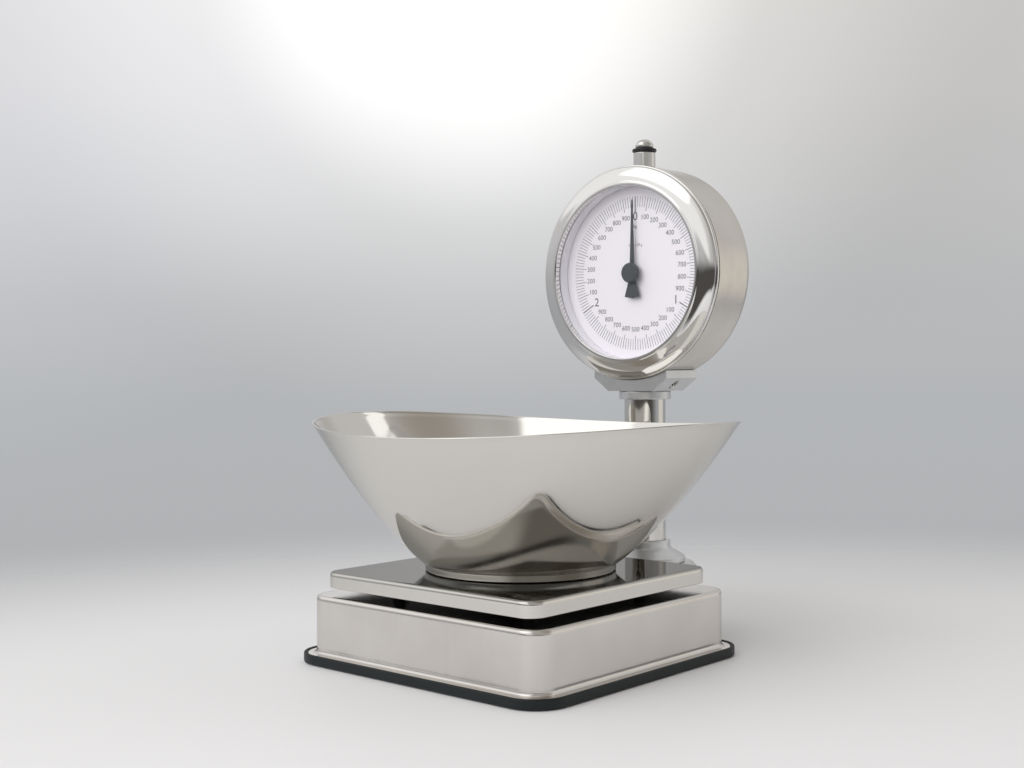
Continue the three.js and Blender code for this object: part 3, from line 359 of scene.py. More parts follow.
def finished(name, mesh, material, body, sharp=38.0):
    work = bmesh.new()
    work.from_mesh(mesh)
    if work.calc_volume(signed=True) < 0:
        bmesh.ops.reverse_faces(work, faces=work.faces)
    work.to_mesh(mesh)
    work.free()
    mesh.shade_smooth()
    mesh.set_sharp_from_angle(angle=math.radians(sharp))
    mesh.materials.clear()
    mesh.materials.append(material)
    piece = bpy.data.objects.new(name, mesh)
    bpy.context.scene.collection.objects.link(piece)
    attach(piece, body)
    return piece


# a turned piece: the outline's (radius, height) carried round its axis
def turned(name, corners, centre, material, body, slot, axis="z", sides=128, steps=6, sharp=38.0):
    onAxis = corners[0][0] == 0
    line = softened(corners, not onAxis, steps)
    poles = None
    a = np.linspace(0, 2 * math.pi, sides, endpoint=False)[None, :]
    place = np.array(centre)

    def carried(line):
        r, h = line[:, :1], line[:, 1:] + 0 * a
        if axis == "z":
            return np.stack([r * np.cos(a), r * np.sin(a), h], -1) + place
        return np.stack([r * np.cos(a), h, r * np.sin(a)], -1) + place

    if onAxis:
        ends = carried(line[[0, -1]])[:, 0]
        poles = ends
        line = line[1:-1]
    return skin(name, carried(line), poles, material, body, sharp)


# a pressed pan: the outline's (reach past the wall, height) carried round a rectangle with round corners,
# whose corner radius grows with the reach and never falls under a small limit
def pressed(name, corners, half, corner, centre, poles, material, body, steps=6, cornerSteps=16):
    line = softened(corners, poles is None, steps)
    if poles is not None:
        line = line[1:-1]
    turn = np.linspace(0, math.pi / 2, cornerSteps)
    turn = np.concatenate([[0], turn, [math.pi / 2]])
    shift = np.concatenate([[-1.2 * mm], np.zeros(cornerSteps), [1.2 * mm]])
    angle = (turn[None] + np.arange(4)[:, None] * math.pi / 2).ravel()
    shift = np.tile(shift, 4)
    quarter = np.repeat(np.arange(4), cornerSteps + 2)
    signX = np.array([1, -1, -1, 1])[quarter]
    signY = np.array([1, 1, -1, -1])[quarter]
    reach, height = line[:, :1], line[:, 1:]
    radius = np.maximum(corner * mm + reach, 0.4 * mm)
    x = signX * (half[0] + reach - radius) + radius * np.cos(angle) - shift * np.sin(angle)
    y = signY * (half[1] + reach - radius) + radius * np.sin(angle) + shift * np.cos(angle)
    points = np.stack([x + centre[0], y + centre[1], height + 0 * x], -1)
    return skin(name, points, poles, material, body)


def baked(piece):
    # the modifiers' result becomes the piece's own mesh
    graph = bpy.context.evaluated_depsgraph_get()
    mesh = bpy.data.meshes.new_from_object(piece.evaluated_get(graph), depsgraph=graph)
    piece.modifiers.clear()
    piece.data = mesh
    return piece


def cutWith(piece, cutters):
    for cutter in cutters:
        cutter.hide_render = True
        knife = piece.modifiers.new("hole", "BOOLEAN")
        knife.operation = "DIFFERENCE"
        knife.solver = "EXACT"
        knife.object = cutter
    bpy.context.view_layer.update()
    baked(piece)
    piece.data.shade_smooth()
    piece.data.set_sharp_from_angle(angle=math.radians(38))
    for cutter in cutters:
        bpy.data.objects.remove(cutter)
    return piece


def drill(radius, length, place, axis="z", sides=32):
    mesh = bpy.data.meshes.new("drill")
    work = bmesh.new()
    turn = Matrix.Rotation(math.pi / 2, 4, "X") if axis == "y" else Matrix.Identity(4)
    bmesh.ops.create_cone(work, cap_ends=True, segments=sides, radius1=radius, radius2=radius, depth=length,
                          matrix=Matrix.Translation(place) @ turn)
    work.to_mesh(mesh)
    work.free()
    tool = bpy.data.objects.new("drill", mesh)
    bpy.context.scene.collection.objects.link(tool)
    return tool


# a copy of a frame piece with its loose triangles joined, its flats made whole and its edges broken
def eased(name, node, material, body, width, segments=2):
    mesh = nodes[node].data.copy()
    work = bmesh.new()
    work.from_mesh(mesh)
    bmesh.ops.remove_doubles(work, verts=work.verts, dist=2e-6)
    bmesh.ops.dissolve_limit(work, angle_limit=math.radians(1), verts=work.verts, edges=work.edges)
    work.to_mesh(mesh)
    work.free()
    piece = finished(name, mesh, material, body)
    edge = piece.modifiers.new("edge", "BEVEL")
    edge.width = width * mm
    edge.segments = segments
    edge.limit_method = "ANGLE"
    edge.angle_limit = math.radians(35)
    edge.harden_normals = True
    bpy.context.view_layer.update()
    baked(piece)
    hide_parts(node)
    return piece


shellLow, shellHigh, shellMid = span("base_shell")
base = {
    "wall": 92.0, "corner": 13.5, "flange": 5.5, "sheet": 1.0, "topEdge": 3.0, "footRadius": 2.4, "rim": 0.4,
    "postHole": 7.0, "posts": (53.0, 52.0), "screwHole": 1.9, "window": (16.0, 10.0, 28.0), "windowZ": 23.0,
}


def makeBaseShell():
    low, high = shellLow.z / mm, shellHigh.z / mm
    t, flange, wall = base["sheet"], base["flange"], base["wall"]
    corners = [
        (-wall, high - t), (-t, high - t, base["topEdge"] - t), (-t, low, 0.6), (flange, low, base["rim"]),
        (flange, low + t, base["rim"]), (0, low + t, base["footRadius"]), (0, high, base["topEdge"]),
        (-wall, high),
    ]
    centre = (0, shellMid.y)
    poles = [(0, shellMid.y, (high - t) * mm), (0, shellMid.y, high * mm)]
    shell = pressed("shell", corners, (wall * mm, wall * mm), base["corner"], centre, poles,
                    shellSteel, "stand")
    postX, postY = base["posts"]
    holes = [drill(base["postHole"] * mm, 0.01, (x * postX * mm, shellMid.y + y * postY * mm, shellHigh.z))
             for x in (-1, 1) for y in (-1, 1)]
    window = bpy.data.meshes.new("window")  # the main lever's nose comes out through it
    work = bmesh.new()
    rear = shellMid.y + wall * mm
    opening = Matrix.Diagonal((*(edge * mm for edge in base["window"]), 1))
    bmesh.ops.create_cube(work, size=1, matrix=Matrix.Translation((0, rear, base["windowZ"] * mm)) @ opening)
    work.to_mesh(window)
    work.free()
    gate = bpy.data.objects.new("window", window)
    bpy.context.scene.collection.objects.link(gate)
    for side in ("left", "right"):
        _, _, at = span(f"foot_screw_{side}")
        holes.append(drill(base["screwHole"] * mm, 0.008, (at.x, rear, at.z), "y", 16))
    cutWith(shell, holes + [gate])
    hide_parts("base_shell")


trim = {
    "wall": 100.0, "corner": 21.5, "ring": 2.2, "floor": 2.5, "ledge": 1.6, "ledgeReach": 8.7, "tread": 16.0,
    "top": 1.0, "edge": 1.4,
}


def makeTrim():
    low, high, mid = span("base_trim")
    top, ring, floor = high.z / mm, trim["ring"], trim["floor"]
    corners = [
        (-trim["tread"], 0, 0.5), (0, 0, trim["edge"]), (0, top, trim["top"]), (-ring, top, trim["top"]),
        (-ring, floor + trim["ledge"], 0.4), (-trim["ledgeReach"], floor + trim["ledge"], 0.3),
        (-trim["ledgeReach"], floor, 0.3), (-trim["tread"], floor, 0.4),
    ]
    piece = pressed("trim", corners, (trim["wall"] * mm,) * 2, trim["corner"], (0, mid.y), None,
                    blackRubber, "stand", steps=5)
    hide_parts("base_trim")


def makeFoot():
    eased("pillarFoot", "pillar_foot", castSatin, "stand", 0.5)
    eased("rearPad", "rear_pad", blackRubber, "stand", 0.3)


makeBaseShell()
makeTrim()
makeFoot()
print("base done")

tray = {"corner": 10.5, "sheet": 1.0, "edge": 2.4, "lip": 0.45}


def makeTray():
    low, high, mid = span("platform_tray")
    bottom, top, t = low.z / mm, high.z / mm, tray["sheet"]
    half = (high.x - low.x) / 2 / mm
    corners = [
        (-half, top - t), (-t, top - t, tray["edge"] - t), (-t, bottom, tray["lip"]),
        (0, bottom, tray["lip"]), (0, top, tray["edge"]), (-half, top),
    ]
    poles = [(0, mid.y, (top - t) * mm), (0, mid.y, top * mm)]
    piece = pressed("tray", corners, (half * mm, half * mm), tray["corner"], (0, mid.y), poles,
                    topSteel, "platform")
    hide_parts("platform_tray")


makeTray()
print("platform done")

bowl = {
    "footRadius": 60.0, "footHeight": 4.6, "wall": 1.0, "bulgeOut": 0.47, "bulgeUp": 0.31, "rimWave": 3.7,
    "rimEdge": 0.45, "around": 288, "rows": 60, "lip": (0.15, 0.5, 0.85),
    # steps in from the foot, with the height over its rest face, then the depth under the wall's lower edge
    "footRing": [(9, 2.0), (7, 2.0), (4.5, 0.6), (3.6, 0.1), (3.0, 0), (2.4, 0), (1.9, 0.15), (1.6, 0.5),
                 (1.5, 1.0), (1.3, 3.4), (1.2, 3.9), (0.8, 4.3)],
    "dish": [(4, 1.0), (8, 1.9), (14, 2.1)],
}


# wall point at share t of the way up and angle a: radius and height follow a quadratic curve from the foot
# to the rim, the rim is an ellipse and it rises by cos 2a at its ends; d moves the point inwards
def bowlWall(t, a, d, low, high, mid, halfX, halfY):
    foot = bowl["footRadius"] * mm - d
    rimX, rimY = halfX - d, halfY - d
    footZ = low.z + bowl["footHeight"] * mm + 0.6 * d
    rimZ = high.z - bowl["rimWave"] * mm + bowl["rimWave"] * mm * np.cos(2 * a)
    out = 2 * (1 - t) * t * bowl["bulgeOut"] + t * t
    up = 2 * (1 - t) * t * bowl["bulgeUp"] + t * t
    x = np.cos(a) * (foot + (rimX - foot) * out)
    y = np.sin(a) * (foot + (rimY - foot) * out)
    return np.stack([mid.x + x, mid.y + y, footZ + (rimZ - footZ) * up], -1)


def makeBowl():
    low, high, mid = span("bowl")
    halfX, halfY = (high.x - low.x) / 2, (high.y - low.y) / 2
    a = np.linspace(0, 2 * math.pi, bowl["around"], endpoint=False)
    wall, foot = bowl["wall"] * mm, bowl["footRadius"] * mm

    def ring(radius, z):
        return np.stack([mid.x + radius * np.cos(a), mid.y + radius * np.sin(a), z + 0 * a], -1)[None]

    t = np.linspace(0, 1, bowl["rows"])[:, None]
    outside = bowlWall(t, a[None], 0.0, low, high, mid, halfX, halfY)
    inside = bowlWall(t[::-1], a[None], wall, low, high, mid, halfX, halfY)
    depth = np.array(bowl["lip"])[:, None] * wall
    lip = bowlWall(np.ones((3, 1)), a[None], depth, low, high, mid, halfX, halfY)
    lip[..., 2] = outside[-1:, :, 2]
    outside[-1, :, 2] -= bowl["rimEdge"] * mm
    inside[0, :, 2] -= bowl["rimEdge"] * mm
    floorZ = low.z + (bowl["footHeight"] + 0.2) * mm
    under = [ring(foot - inset * mm, low.z + up * mm) for inset, up in bowl["footRing"]]
    floor = [ring(foot - inset * mm, floorZ - down * mm) for inset, down in bowl["dish"]]
    points = np.concatenate([*under, outside, lip, inside, *floor])
    belly, floorTop = low.z + bowl["footRing"][0][1] * mm, floorZ - bowl["dish"][-1][1] * mm
    poles = [(mid.x, mid.y, belly), (mid.x, mid.y, floorTop)]
    piece = skin("bowlShell", points, poles, bowlSteel, "bowl", 50)
    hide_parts("bowl")


makeBowl()
print("bowl done")

pillar = {"bore": 12.5, "radius": 14.0, "rim": 27.2, "ring": 16.9, "seat": 14.3}


def makePillar():
    low, high, mid = span("pillar_tube")
    at = (mid.x, mid.y, 0)
    bottom, top = low.z / mm, high.z / mm
    r, bore = pillar["radius"], pillar["bore"]
    tube = turned("pillar", [(bore, bottom, 0.3), (r, bottom, 0.3), (r, top, 0.3), (bore, top, 0.3)], at,
                  brightChrome, "stand", "chrome", steps=3)
    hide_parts("pillar_tube")
    low, high, _ = span("foot_collar")
    b, t = low.z / mm, high.z / mm
    rim, ring, seat = pillar["rim"], pillar["ring"], pillar["seat"]
    collar = turned("footCollar", [
        (bore, b, 0.2), (rim, b, 0.4), (rim, b + 3.2, 1.0), (ring + 0.3, b + 9.0, 0.8), (ring, t, 0.9),
        (seat, t, 0.3), (seat, b + 2, 0.1), (bore, b + 2, 0.1),
    ], at, castSatin, "stand", "cast_silver", steps=5)
    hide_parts("foot_collar")
    low, high, _ = span("head_collar")
    b, t = low.z / mm, high.z / mm
    r = (high.x - low.x) / 2 / mm
    neck = turned("headCollar", [(seat, b, 0.3), (r, b, 0.8), (r, t, 0.4), (seat, t, 0.3)], at,
                  castSatin, "stand", "cast_silver", steps=5)
    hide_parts("head_collar")
    eased("headBracket", "head_bracket", castSatin, "stand", 0.45)
    for side in ("left", "right"):
        eased(f"clampScrew.{side}", f"clamp_screw_{side}", zincPlate, "stand", 0.15)


makePillar()
print("pillar done")

_, _, drumMid = span("drum")
headCentre = (drumMid.x, 0, drumMid.z)
head = {
    "drum": 72.0, "sheet": 1.0, "drumEdge": 5.0, "lip": 12.0, "opening": 57.7, "lens": 67.0, "spacer": 1.5,
    "screwHole": 1.9, "rodHole": 9.5, "knobHole": 2.6, "screwDrop": 66.5, "arborHole": 1.8,
}


def makeHead():
    # the drum: one pressed shell, open to the front, with a lip turned in at the back for the cover
    low, high, _ = span("drum")
    y0, y1 = low.y / mm, high.y / mm
    r, t = head["drum"], head["sheet"]
    drum = turned("drumShell", [
        (r, y0, 0.25), (r, y1, head["drumEdge"]), (r - head["lip"], y1, 0.3), (r - head["lip"], y1 - t, 0.3),
        (r - t, y1 - t, head["drumEdge"] - t), (r - t, y0, 0.25),
    ], headCentre, drumSteel, "stand", "satin_steel", "y", 192, 9)
    _, _, post = span("pillar_tube")
    screwHole = head["screwHole"] * mm
    cuts = [drill(head["rodHole"] * mm, 0.008, (post.x, post.y, headCentre[2] - r * mm + 0.001)),
            drill(head["knobHole"] * mm, 0.008, (post.x, post.y, headCentre[2] + r * mm - 0.001), sides=24)]
    for side in ("left", "right"):
        _, _, at = span(f"drum_screw_{side}")
        cuts.append(drill(screwHole, 0.014, (at.x, at.y, headCentre[2] - head["screwDrop"] * mm), sides=16))
    for i in (1, 2, 3):
        _, _, at = span(f"cover_screw_{i}")
        cuts.append(drill(screwHole, 0.006, (at.x, high.y, at.z), "y", 16))
    cutWith(drum, cuts)
    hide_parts("drum")

    low, high, _ = span("rear_cover")
    y0, y1, r = low.y / mm, high.y / mm, (high.x - low.x) / 2 / mm
    cover = turned("rearCover", [
        (0, y0), (r, y0, 0.15), (r, y1, 0.6), (r - 5, y1, 1.0), (r - 6.5, y1 - 0.4, 1.0), (0, y1 - 0.4),
    ], headCentre, drumSteel, "stand", "satin_steel", "y", 128, 5)
    cuts = []
    for i in (1, 2, 3):
        _, _, at = span(f"cover_screw_{i}")
        cuts.append(drill(screwHole, 0.006, (at.x, (y0 + y1) / 2 * mm, at.z), "y", 16))
        eased(f"coverScrew.{i}", f"cover_screw_{i}", zincPlate, "stand", 0.2)
    cutWith(cover, cuts)
    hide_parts("rear_cover")

    # the bezel: a rolled inner lip, a broad convex cone, a groove, a round outer bead and a skirt in the drum
    low, high, _ = span("bezel")
    y, r, skirt = low.y / mm, (high.x - low.x) / 2 / mm, head["drum"] - 1.3
    rear = y + 8.0
    opening = head["opening"]
    bezel = turned("bezelRing", [
        (opening, y + 4.3, 0.3), (opening, y, 0.7), (opening + 2.2, y, 0.7), (opening + 3.0, y + 0.55, 0.4),
        (opening + 8.5, y + 1.7, 3.0), (r - 1.1, y + 4.6, 0.9), (r - 1.2, y + 5.5, 0.3), (r, y + 5.6, 0.9),
        (r, rear, 0.9),
        (skirt, rear, 0.1), (skirt, rear + 5, 0.3), (skirt - 1, rear + 5, 0.3), (skirt - 1, rear - 2, 0.4),
        (head["lens"] + 0.3, y + 4.25, 0.3), (opening + 2.0, y + 2.0, 0.3),
        (opening + 1.0, y + 2.2, 0.3), (opening + 1.0, y + 4.3, 0.3),
    ], headCentre, bezelSteel, "stand", "polished_steel", "y", 256, 8)
    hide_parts("bezel")

    low, high, _ = span("lens")
    y0, y1, r = low.y / mm, high.y / mm, head["lens"]
    lens = turned("lensDisc", [(0, y0), (r, y0, 0.2), (r, y1, 0.2), (0, y1)], headCentre,
                  clearLens, "stand", "clear_plastic", "y", 128, 3)
    lens.visible_shadow = False
    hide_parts("lens")

    low, high, _ = span("spacer_ring")
    y0, y1, r = low.y / mm, high.y / mm, opening + 1
    outer = r + head["spacer"]
    ring = turned("innerWall", [(r, y0, 0.3), (outer, y0, 0.3), (outer, y1, 0.3), (r, y1, 0.3)], headCentre,
                  wallEnamel, "stand", "dial_white", "y", 160, 4)
    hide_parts("spacer_ring")

    low, high, _ = span("dial_plate")
    y0, y1, r, hole = low.y / mm, high.y / mm, head["lens"], head["arborHole"]
    dial = turned("dialFace", [(hole, y0, 0.1), (r, y0, 0.3), (r, y1, 0.3), (hole, y1, 0.1)], headCentre,
                  dialEnamel, "stand", "dial_white", "y", 128, 3)
    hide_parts("dial_plate")


makeHead()
print("head done")

printing = {
    "marks": 150, "outer": 52.0, "short": 7.4, "middle": 9.6, "long": 10.6,
    "thin": 0.30, "medium": 0.36, "bold": 0.70,
    "numerals": 38.2, "small": 4.6, "large": 8.2, "ink": 0.03,
    "notes": [("kg", 3.4, 31.6), ("3 kg x 20 g", 2.6, 19.0)],  # words, letter height, height over the centre
}


def makeMarks():
    # mark k stands at k turns / 150, clockwise from the top, as a thin bar from the outer circle inwards
    low, _, _ = span("dial_plate")
    k = np.arange(printing["marks"])
    kilo, hundred = k % 50 == 0, k % 5 == 0
    length = np.where(kilo, printing["long"], np.where(hundred, printing["middle"], printing["short"])) * mm
    width = np.where(kilo, printing["bold"], np.where(hundred, printing["medium"], printing["thin"])) * mm
    a = 2 * math.pi * k / printing["marks"]
    outward = np.stack([np.sin(a), 0 * a, np.cos(a)], -1)
    across = np.stack([np.cos(a), 0 * a, -np.sin(a)], -1)
    outer = np.full(len(k), printing["outer"] * mm)
    corner = []
    for depth in (0.0, -printing["ink"] * mm):
        for radial, side in ((outer - length, -0.5), (outer - length, 0.5), (outer, 0.5), (outer, -0.5)):
            flat = outward * radial[:, None] + across * (side * width)[:, None]
            corner.append(flat + np.array([0, depth, 0]))
    points = np.stack(corner, 1) + np.array([headCentre[0], low.y, headCentre[2]])
    bar = np.array([[0, 3, 2, 1], [4, 5, 6, 7], [0, 1, 5, 4], [1, 2, 6, 5], [2, 3, 7, 6], [3, 0, 4, 7]])
    faces = (bar[None] + 8 * k[:, None, None]).reshape(-1, 4)
    mesh = bpy.data.meshes.new("dialMarks")
    mesh.from_pydata(points.reshape(-1, 3), [], faces.tolist())
    finished("dialMarks", mesh, dialInk, "stand", 30)


def makeNumerals():
    low, _, _ = span("dial_plate")
    words = []
    for k in range(30):
        a = 2 * math.pi * k / 30
        big = k % 10 == 0
        word = str(k // 10) if big else str(k % 10 * 100)
        size, radius = printing["large" if big else "small"], printing["numerals"]
        words.append((word, size, radius * math.sin(a), radius * math.cos(a)))
    words += [(word, size, 0, z) for word, size, z in printing["notes"]]
    joined = bmesh.new()
    for word, size, x, z in words:
        curve = bpy.data.curves.new("word", "FONT")
        curve.body = word
        curve.size = size * mm
        curve.align_x = "CENTER"
        curve.align_y = "CENTER"
        curve.extrude = printing["ink"] / 2 * mm
        curve.resolution_u = 3
        letter = bpy.data.objects.new("word", curve)
        bpy.context.scene.collection.objects.link(letter)
        graph = bpy.context.evaluated_depsgraph_get()
        mesh = bpy.data.meshes.new_from_object(letter.evaluated_get(graph), depsgraph=graph)
        place = Vector((headCentre[0] + x * mm, low.y - printing["ink"] / 2 * mm, headCentre[2] + z * mm))
        mesh.transform(Matrix.Translation(place) @ Matrix.Rotation(math.pi / 2, 4, "X"))
        joined.from_mesh(mesh)
        bpy.data.objects.remove(letter)
        bpy.data.meshes.remove(mesh)
    bmesh.ops.remove_doubles(joined, verts=joined.verts, dist=1e-7)
    mesh = bpy.data.meshes.new("dialNumerals")
    joined.to_mesh(mesh)
    joined.free()
    finished("dialNumerals", mesh, dialInk, "stand", 30)


makeMarks()
makeNumerals()
print("dial printed")

needle = {"root": 3.7, "tip": 0.5, "tail": 17.0, "tailWidth": 12.0, "neck": 5.4, "edge": 0.15, "boss": 6.75}


def makePointer():
    low, high, _ = span("pointer")
    reach = (high.z - headCentre[2]) / mm
    half, tip, neck = needle["root"] / 2, needle["tip"] / 2, needle["neck"] / 2
    wide, tail = needle["tailWidth"] / 2, needle["tail"]
    outline = [(tip, reach), (-tip, reach), (-half, 0), (-neck, -5.5), (-wide, -tail + 0.9), (0, -tail),
               (wide, -tail + 0.9), (neck, -5.5), (half, 0)]
    shape = np.array(outline) * mm
    n = len(shape)
    front, back = low.y, high.y
    points = np.concatenate([
        np.stack([shape[:, 0], np.full(n, y), shape[:, 1] + headCentre[2]], -1) for y in (front, back)])
    faces = [list(range(n)), list(range(2 * n - 1, n - 1, -1))]
    faces += [[i, n + i, n + (i + 1) % n, (i + 1) % n] for i in range(n)]
    mesh = bpy.data.meshes.new("needle")
    mesh.from_pydata(points.tolist(), [], faces)
    blade = finished("needle", mesh, pointerPlastic, "pointer", 30)
    edge = blade.modifiers.new("edge", "BEVEL")
    edge.width = needle["edge"] * mm
    edge.segments = 2
    edge.limit_method = "ANGLE"
    bpy.context.view_layer.update()
    baked(blade)
    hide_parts("pointer")
    low, high, _ = span("pointer_boss")
    y0, y1, r = low.y / mm, high.y / mm, needle["boss"]
    boss = turned("needleBoss", [(0, y0), (r - 0.9, y0, 0.3), (r, y0 + 0.9, 0.4), (r, y1, 0.1), (0, y1)],
                  headCentre, pointerPlastic, "pointer", "grey_plastic", "y", 64, 4)
    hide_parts("pointer_boss")


makePointer()
print("pointer done")

knob = {
    "collar": 7.5, "bore": 2.6, "dome": 6.2, "ring": 8.3, "ringBore": 2.3,
    "seat": 72.35,  # where the collar stands, over the dial's centre
}


def makeKnob():
    low, high, mid = span("knob_collar")
    b, t, r, bore = headCentre[2] / mm + knob["seat"], high.z / mm, knob["collar"], knob["bore"]
    at = (mid.x, mid.y, 0)
    collar = turned("knobCollar", [(bore, b, 0.1), (r, b, 0.1), (r, t, 0.7), (bore, t, 0.3)], at,
                    brightChrome, "stand", "chrome", sides=96, steps=6)
    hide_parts("knob_collar")
    low, high, _ = span("knob_ring")
    b, t, r, bore = low.z / mm, high.z / mm, knob["ring"], knob["ringBore"]
    ring = turned("knobRing", [(bore, b, 0.1), (r, b, 1.1), (r, t, 1.1), (bore, t, 0.1)], at, blackPlastic,
                  "zero_knob", "black_plastic", sides=96, steps=8)
    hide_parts("knob_ring")
    low, high, _ = span("knob_cap")
    b, t, r = low.z / mm, high.z / mm, knob["dome"]
    # from a short straight band the dome follows a quarter of an ellipse up to the pole
    turn = np.linspace(0, math.pi / 2, 24)[:-1]
    arc = [(r * math.cos(a), b + 1.3 + (t - b - 1.3) * math.sin(a), 0) for a in turn]
    dome = turned("knobDome", [(0, b), (r - 0.9, b, 0.2), (r - 0.15, b + 0.6, 0.3), *arc, (0, t)], at,
                  brightChrome, "zero_knob", "chrome", sides=96, steps=4)
    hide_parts("knob_cap")


makeKnob()
print("knob done")

camera = {
    "place": (0.5534, -0.6585, 0.1820), "yaw": 41.47, "pitch": -0.97, "roll": -0.23, "lens": 48.23,
}


def addCamera():
    data = bpy.data.cameras.new("camera")
    data.lens = camera["lens"]
    data.sensor_width = 36
    data.clip_start = 0.01
    view = bpy.data.objects.new("camera", data)
    bpy.context.scene.collection.objects.link(view)
    yaw = Matrix.Rotation(math.radians(camera["yaw"]), 4, "Z")
    pitch = Matrix.Rotation(math.radians(90 + camera["pitch"]), 4, "X")
    roll = Matrix.Rotation(math.radians(camera["roll"]), 4, "Z")
    view.matrix_world = Matrix.Translation(camera["place"]) @ yaw @ pitch @ roll
    bpy.context.scene.camera = view
    return view


view = addCamera()
forward = view.matrix_world.to_3x3() @ Vector((0, 0, -1))

studio = {
    # the floor's second, darker tone is painted shade, reached between farFrom and farTo from fadeCentre
    "floor": (0.86, 0.855, 0.87), "floorShadedFar": (0.80, 0.80, 0.81), "floorRadius": 1.7, "floorDrop": 0.4,
    "fadeCentre": (0.39, -0.26), "farFrom": 0.10, "farTo": 0.62, "floorFull": 0.56, "floorGone": 1.16,
    "tones": [(-1.0, (0.50, 0.50, 0.51)), (-0.15, (0.44, 0.447, 0.46)), (-0.03, (0.45, 0.463, 0.478)),
              (0.044, (0.49, 0.495, 0.505)), (0.117, (0.575, 0.577, 0.585)), (0.19, (0.64, 0.635, 0.645)),
              (0.26, (0.67, 0.66, 0.66)), (0.55, (0.68, 0.67, 0.66)), (1.0, (0.66, 0.65, 0.64))],
    # a patch lies (across, up) from straight ahead, with its edge angle, its tone and how it joins the rest
    "backdrop": [((-0.0227, 0.3057), 12, (0.30, 0.30, 0.29), "ADD"),
                 ((-0.0227, 0.3057), 21, (0.17, 0.17, 0.165), "ADD"),
                 ((-0.45, 0.30), 22, (0.07, 0.075, 0.09), "ADD"),
                 ((0.27, 0.34), 18, (0.09, 0.095, 0.11), "SUBTRACT")],
    # a sheet is a direction, its edge and core angles and its tone
    "rightWall": ((0.75, 0.1, 0.65), 40, 15, (0.36, 0.33, 0.29)),
    "rightGap": ((0.66, -0.72, 0.40), 50, 30, (0.45, 0.44, 0.42)),
    "front": ((-0.60, -0.80, 0.1), 72, 52, (1.05, 1.04, 1.03)),
    "lamp": ((-0.256, -0.59, 0.766), 25, 21, (1.5, 1.49, 1.47)),
    "openFront": ((0.45, -0.89, 0), 84, 38, (0.085, 0.08, 0.075)),
    "rearLamp": ((0.31, 0.62, 0.72), 7, 5.5, (1.3, 1.29, 1.27)),
    "warmWall": ((0.68, 0.73, 0.02), 24, 10, (0.84, 0.80, 0.74)),
    "hang": (0.15, 0.23), "hangTilt": 0.15, "low": (0.03, 0.13),
    "light": {"place": (0.15, -1.75, 0.86), "target": (0, 0, 0.2), "size": (1.75, 1.3), "power": 19.0},
}


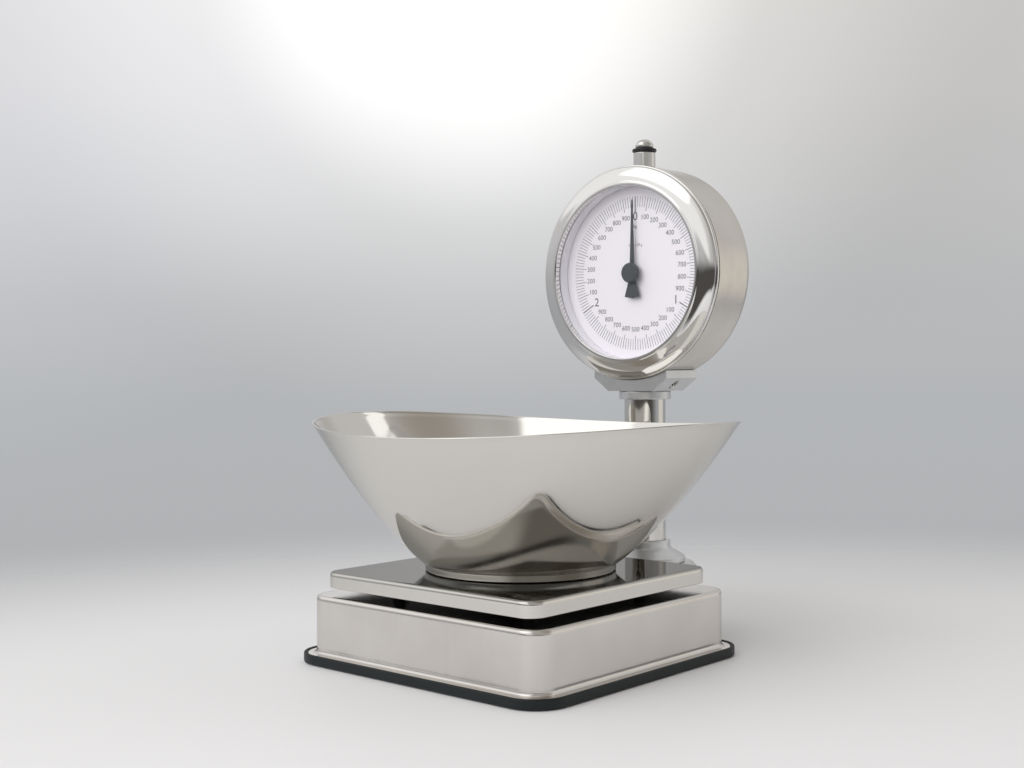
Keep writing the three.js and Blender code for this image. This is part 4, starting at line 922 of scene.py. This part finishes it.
def addWorld():
    world = bpy.data.worlds.new("studio")
    bpy.context.scene.world = world
    world.use_nodes = True
    tree = world.node_tree
    coords = tree.nodes.new("ShaderNodeTexCoord")
    unit = tree.nodes.new("ShaderNodeVectorMath")
    unit.operation = "NORMALIZE"
    tree.links.new(coords.outputs["Generated"], unit.inputs[0])
    split = tree.nodes.new("ShaderNodeSeparateXYZ")
    tree.links.new(unit.outputs["Vector"], split.inputs[0])
    height = split.outputs["Z"]

    def rise(value, low, high):
        return remap(tree, value, low, high, 0, 1, "SMOOTHSTEP")

    # how far a direction lies within a cone: one inside the core angle, nothing outside the edge angle
    def cone(direction, edge, core=0):
        node = tree.nodes.new("ShaderNodeVectorMath")
        node.operation = "DOT_PRODUCT"
        tree.links.new(unit.outputs["Vector"], node.inputs[0])
        node.inputs[1].default_value = Vector(direction).normalized()
        return rise(node.outputs["Value"], math.cos(math.radians(edge)), math.cos(math.radians(core)))

    def mixed(factor, under, over, how="MIX"):
        node = tree.nodes.new("ShaderNodeMix")
        node.data_type = "RGBA"
        node.blend_type = how
        tree.links.new(factor, node.inputs["Factor"])
        tree.links.new(under, node.inputs["A"])
        node.inputs["B"].default_value = (*over, 1)
        return node.outputs["Result"]

    # a sheet laid over what is behind it, seen only where the mask is one
    def hung(sheet, under, mask=None):
        direction, edge, core, tone = studio[sheet]
        inside = cone(direction, edge, core)
        return mixed(inside if mask is None else calc(tree, inside, mask, "MULTIPLY"), under, tone)

    ramp = tree.nodes.new("ShaderNodeValToRGB")
    tree.links.new(remap(tree, height, -1, 1, 0, 1), ramp.inputs["Fac"])
    stops = ramp.color_ramp
    while len(stops.elements) < len(studio["tones"]):
        stops.elements.new(0.5)
    for stop, (at, color) in zip(stops.elements, studio["tones"]):
        stop.position = (at + 1) / 2
        stop.color = (*color, 1)
    color = ramp.outputs["Color"]
    across = Vector((forward.y, -forward.x, 0)).normalized()
    ahead = Vector((forward.x, forward.y, 0)).normalized()
    for (aside, above), edge, tone, how in studio["backdrop"]:
        color = mixed(cone(ahead + across * aside + Vector((0, 0, above)), edge), color, tone, how)
    # the open front of the tent is dark near the floor, and the sheet over it, which hangs lower on the
    # right, is bright, with its lamp behind the middle
    tilted = calc(tree, height, calc(tree, split.outputs["X"], studio["hangTilt"], "MULTIPLY"))
    high = rise(tilted, *studio["hang"])
    low = calc(tree, 1.0, rise(height, *studio["low"]), "SUBTRACT")
    color = hung("rightWall", color)
    color = hung("rightGap", color)
    color = hung("front", color, high)
    color = hung("lamp", color)
    color = hung("openFront", color, low)
    color = hung("rearLamp", color)
    color = hung("warmWall", color)
    back = tree.nodes["Background"]
    tree.links.new(color, back.inputs["Color"])


def addFloor():
    # a round sheet whose edge thins away, so that floor and backdrop run into each other
    mesh = bpy.data.meshes.new("floor")
    work = bmesh.new()
    bmesh.ops.create_circle(work, cap_ends=True, segments=128, radius=studio["floorRadius"])
    work.to_mesh(mesh)
    work.free()
    floor = bpy.data.objects.new("floor", mesh)
    bpy.context.scene.collection.objects.link(floor)
    floor.location = (*studio["fadeCentre"], -studio["floorDrop"] * mm)
    mat, tree, shader = newMaterial("paleFloor", {"Roughness": 0.55, "Specular IOR Level": 0.2})
    grain = noiseAt(tree, 3, detail=2)
    coords = tree.nodes.new("ShaderNodeTexCoord")
    length = tree.nodes.new("ShaderNodeVectorMath")
    length.operation = "LENGTH"
    tree.links.new(coords.outputs["Object"], length.inputs[0])
    far = length.outputs["Value"]
    fade = remap(tree, far, studio["floorFull"], studio["floorGone"], 1, 0, "SMOOTHSTEP")
    tree.links.new(fade, shader.inputs["Alpha"])
    # painted shade: the floor's colour darkens from the fade centre outwards, standing in for light falling
    # off towards the tent's sides
    reach = calc(tree, far, remap(tree, grain, 0.3, 0.7, -0.01, 0.01))
    paintedFalloff = remap(tree, reach, studio["farFrom"], studio["farTo"], 0, 1, "SMOOTHSTEP")
    tree.links.new(tint(tree, paintedFalloff, studio["floor"], studio["floorShadedFar"]), shader.inputs["Base Color"])
    mesh.materials.append(mat)


def addLight():
    sheet = studio["light"]
    data = bpy.data.lights.new("frontSheet", "AREA")
    data.shape = "RECTANGLE"
    data.size, data.size_y = sheet["size"]
    data.energy = sheet["power"]
    light = bpy.data.objects.new("frontSheet", data)
    bpy.context.scene.collection.objects.link(light)
    light.location = sheet["place"]
    aim = Vector(sheet["target"]) - Vector(sheet["place"])
    light.rotation_euler = aim.to_track_quat("-Z", "Y").to_euler()
    light.visible_camera = False
    light.visible_glossy = False


addWorld()
addFloor()
addLight()
bpy.context.scene.view_settings.view_transform = "Standard"
print("studio ready")
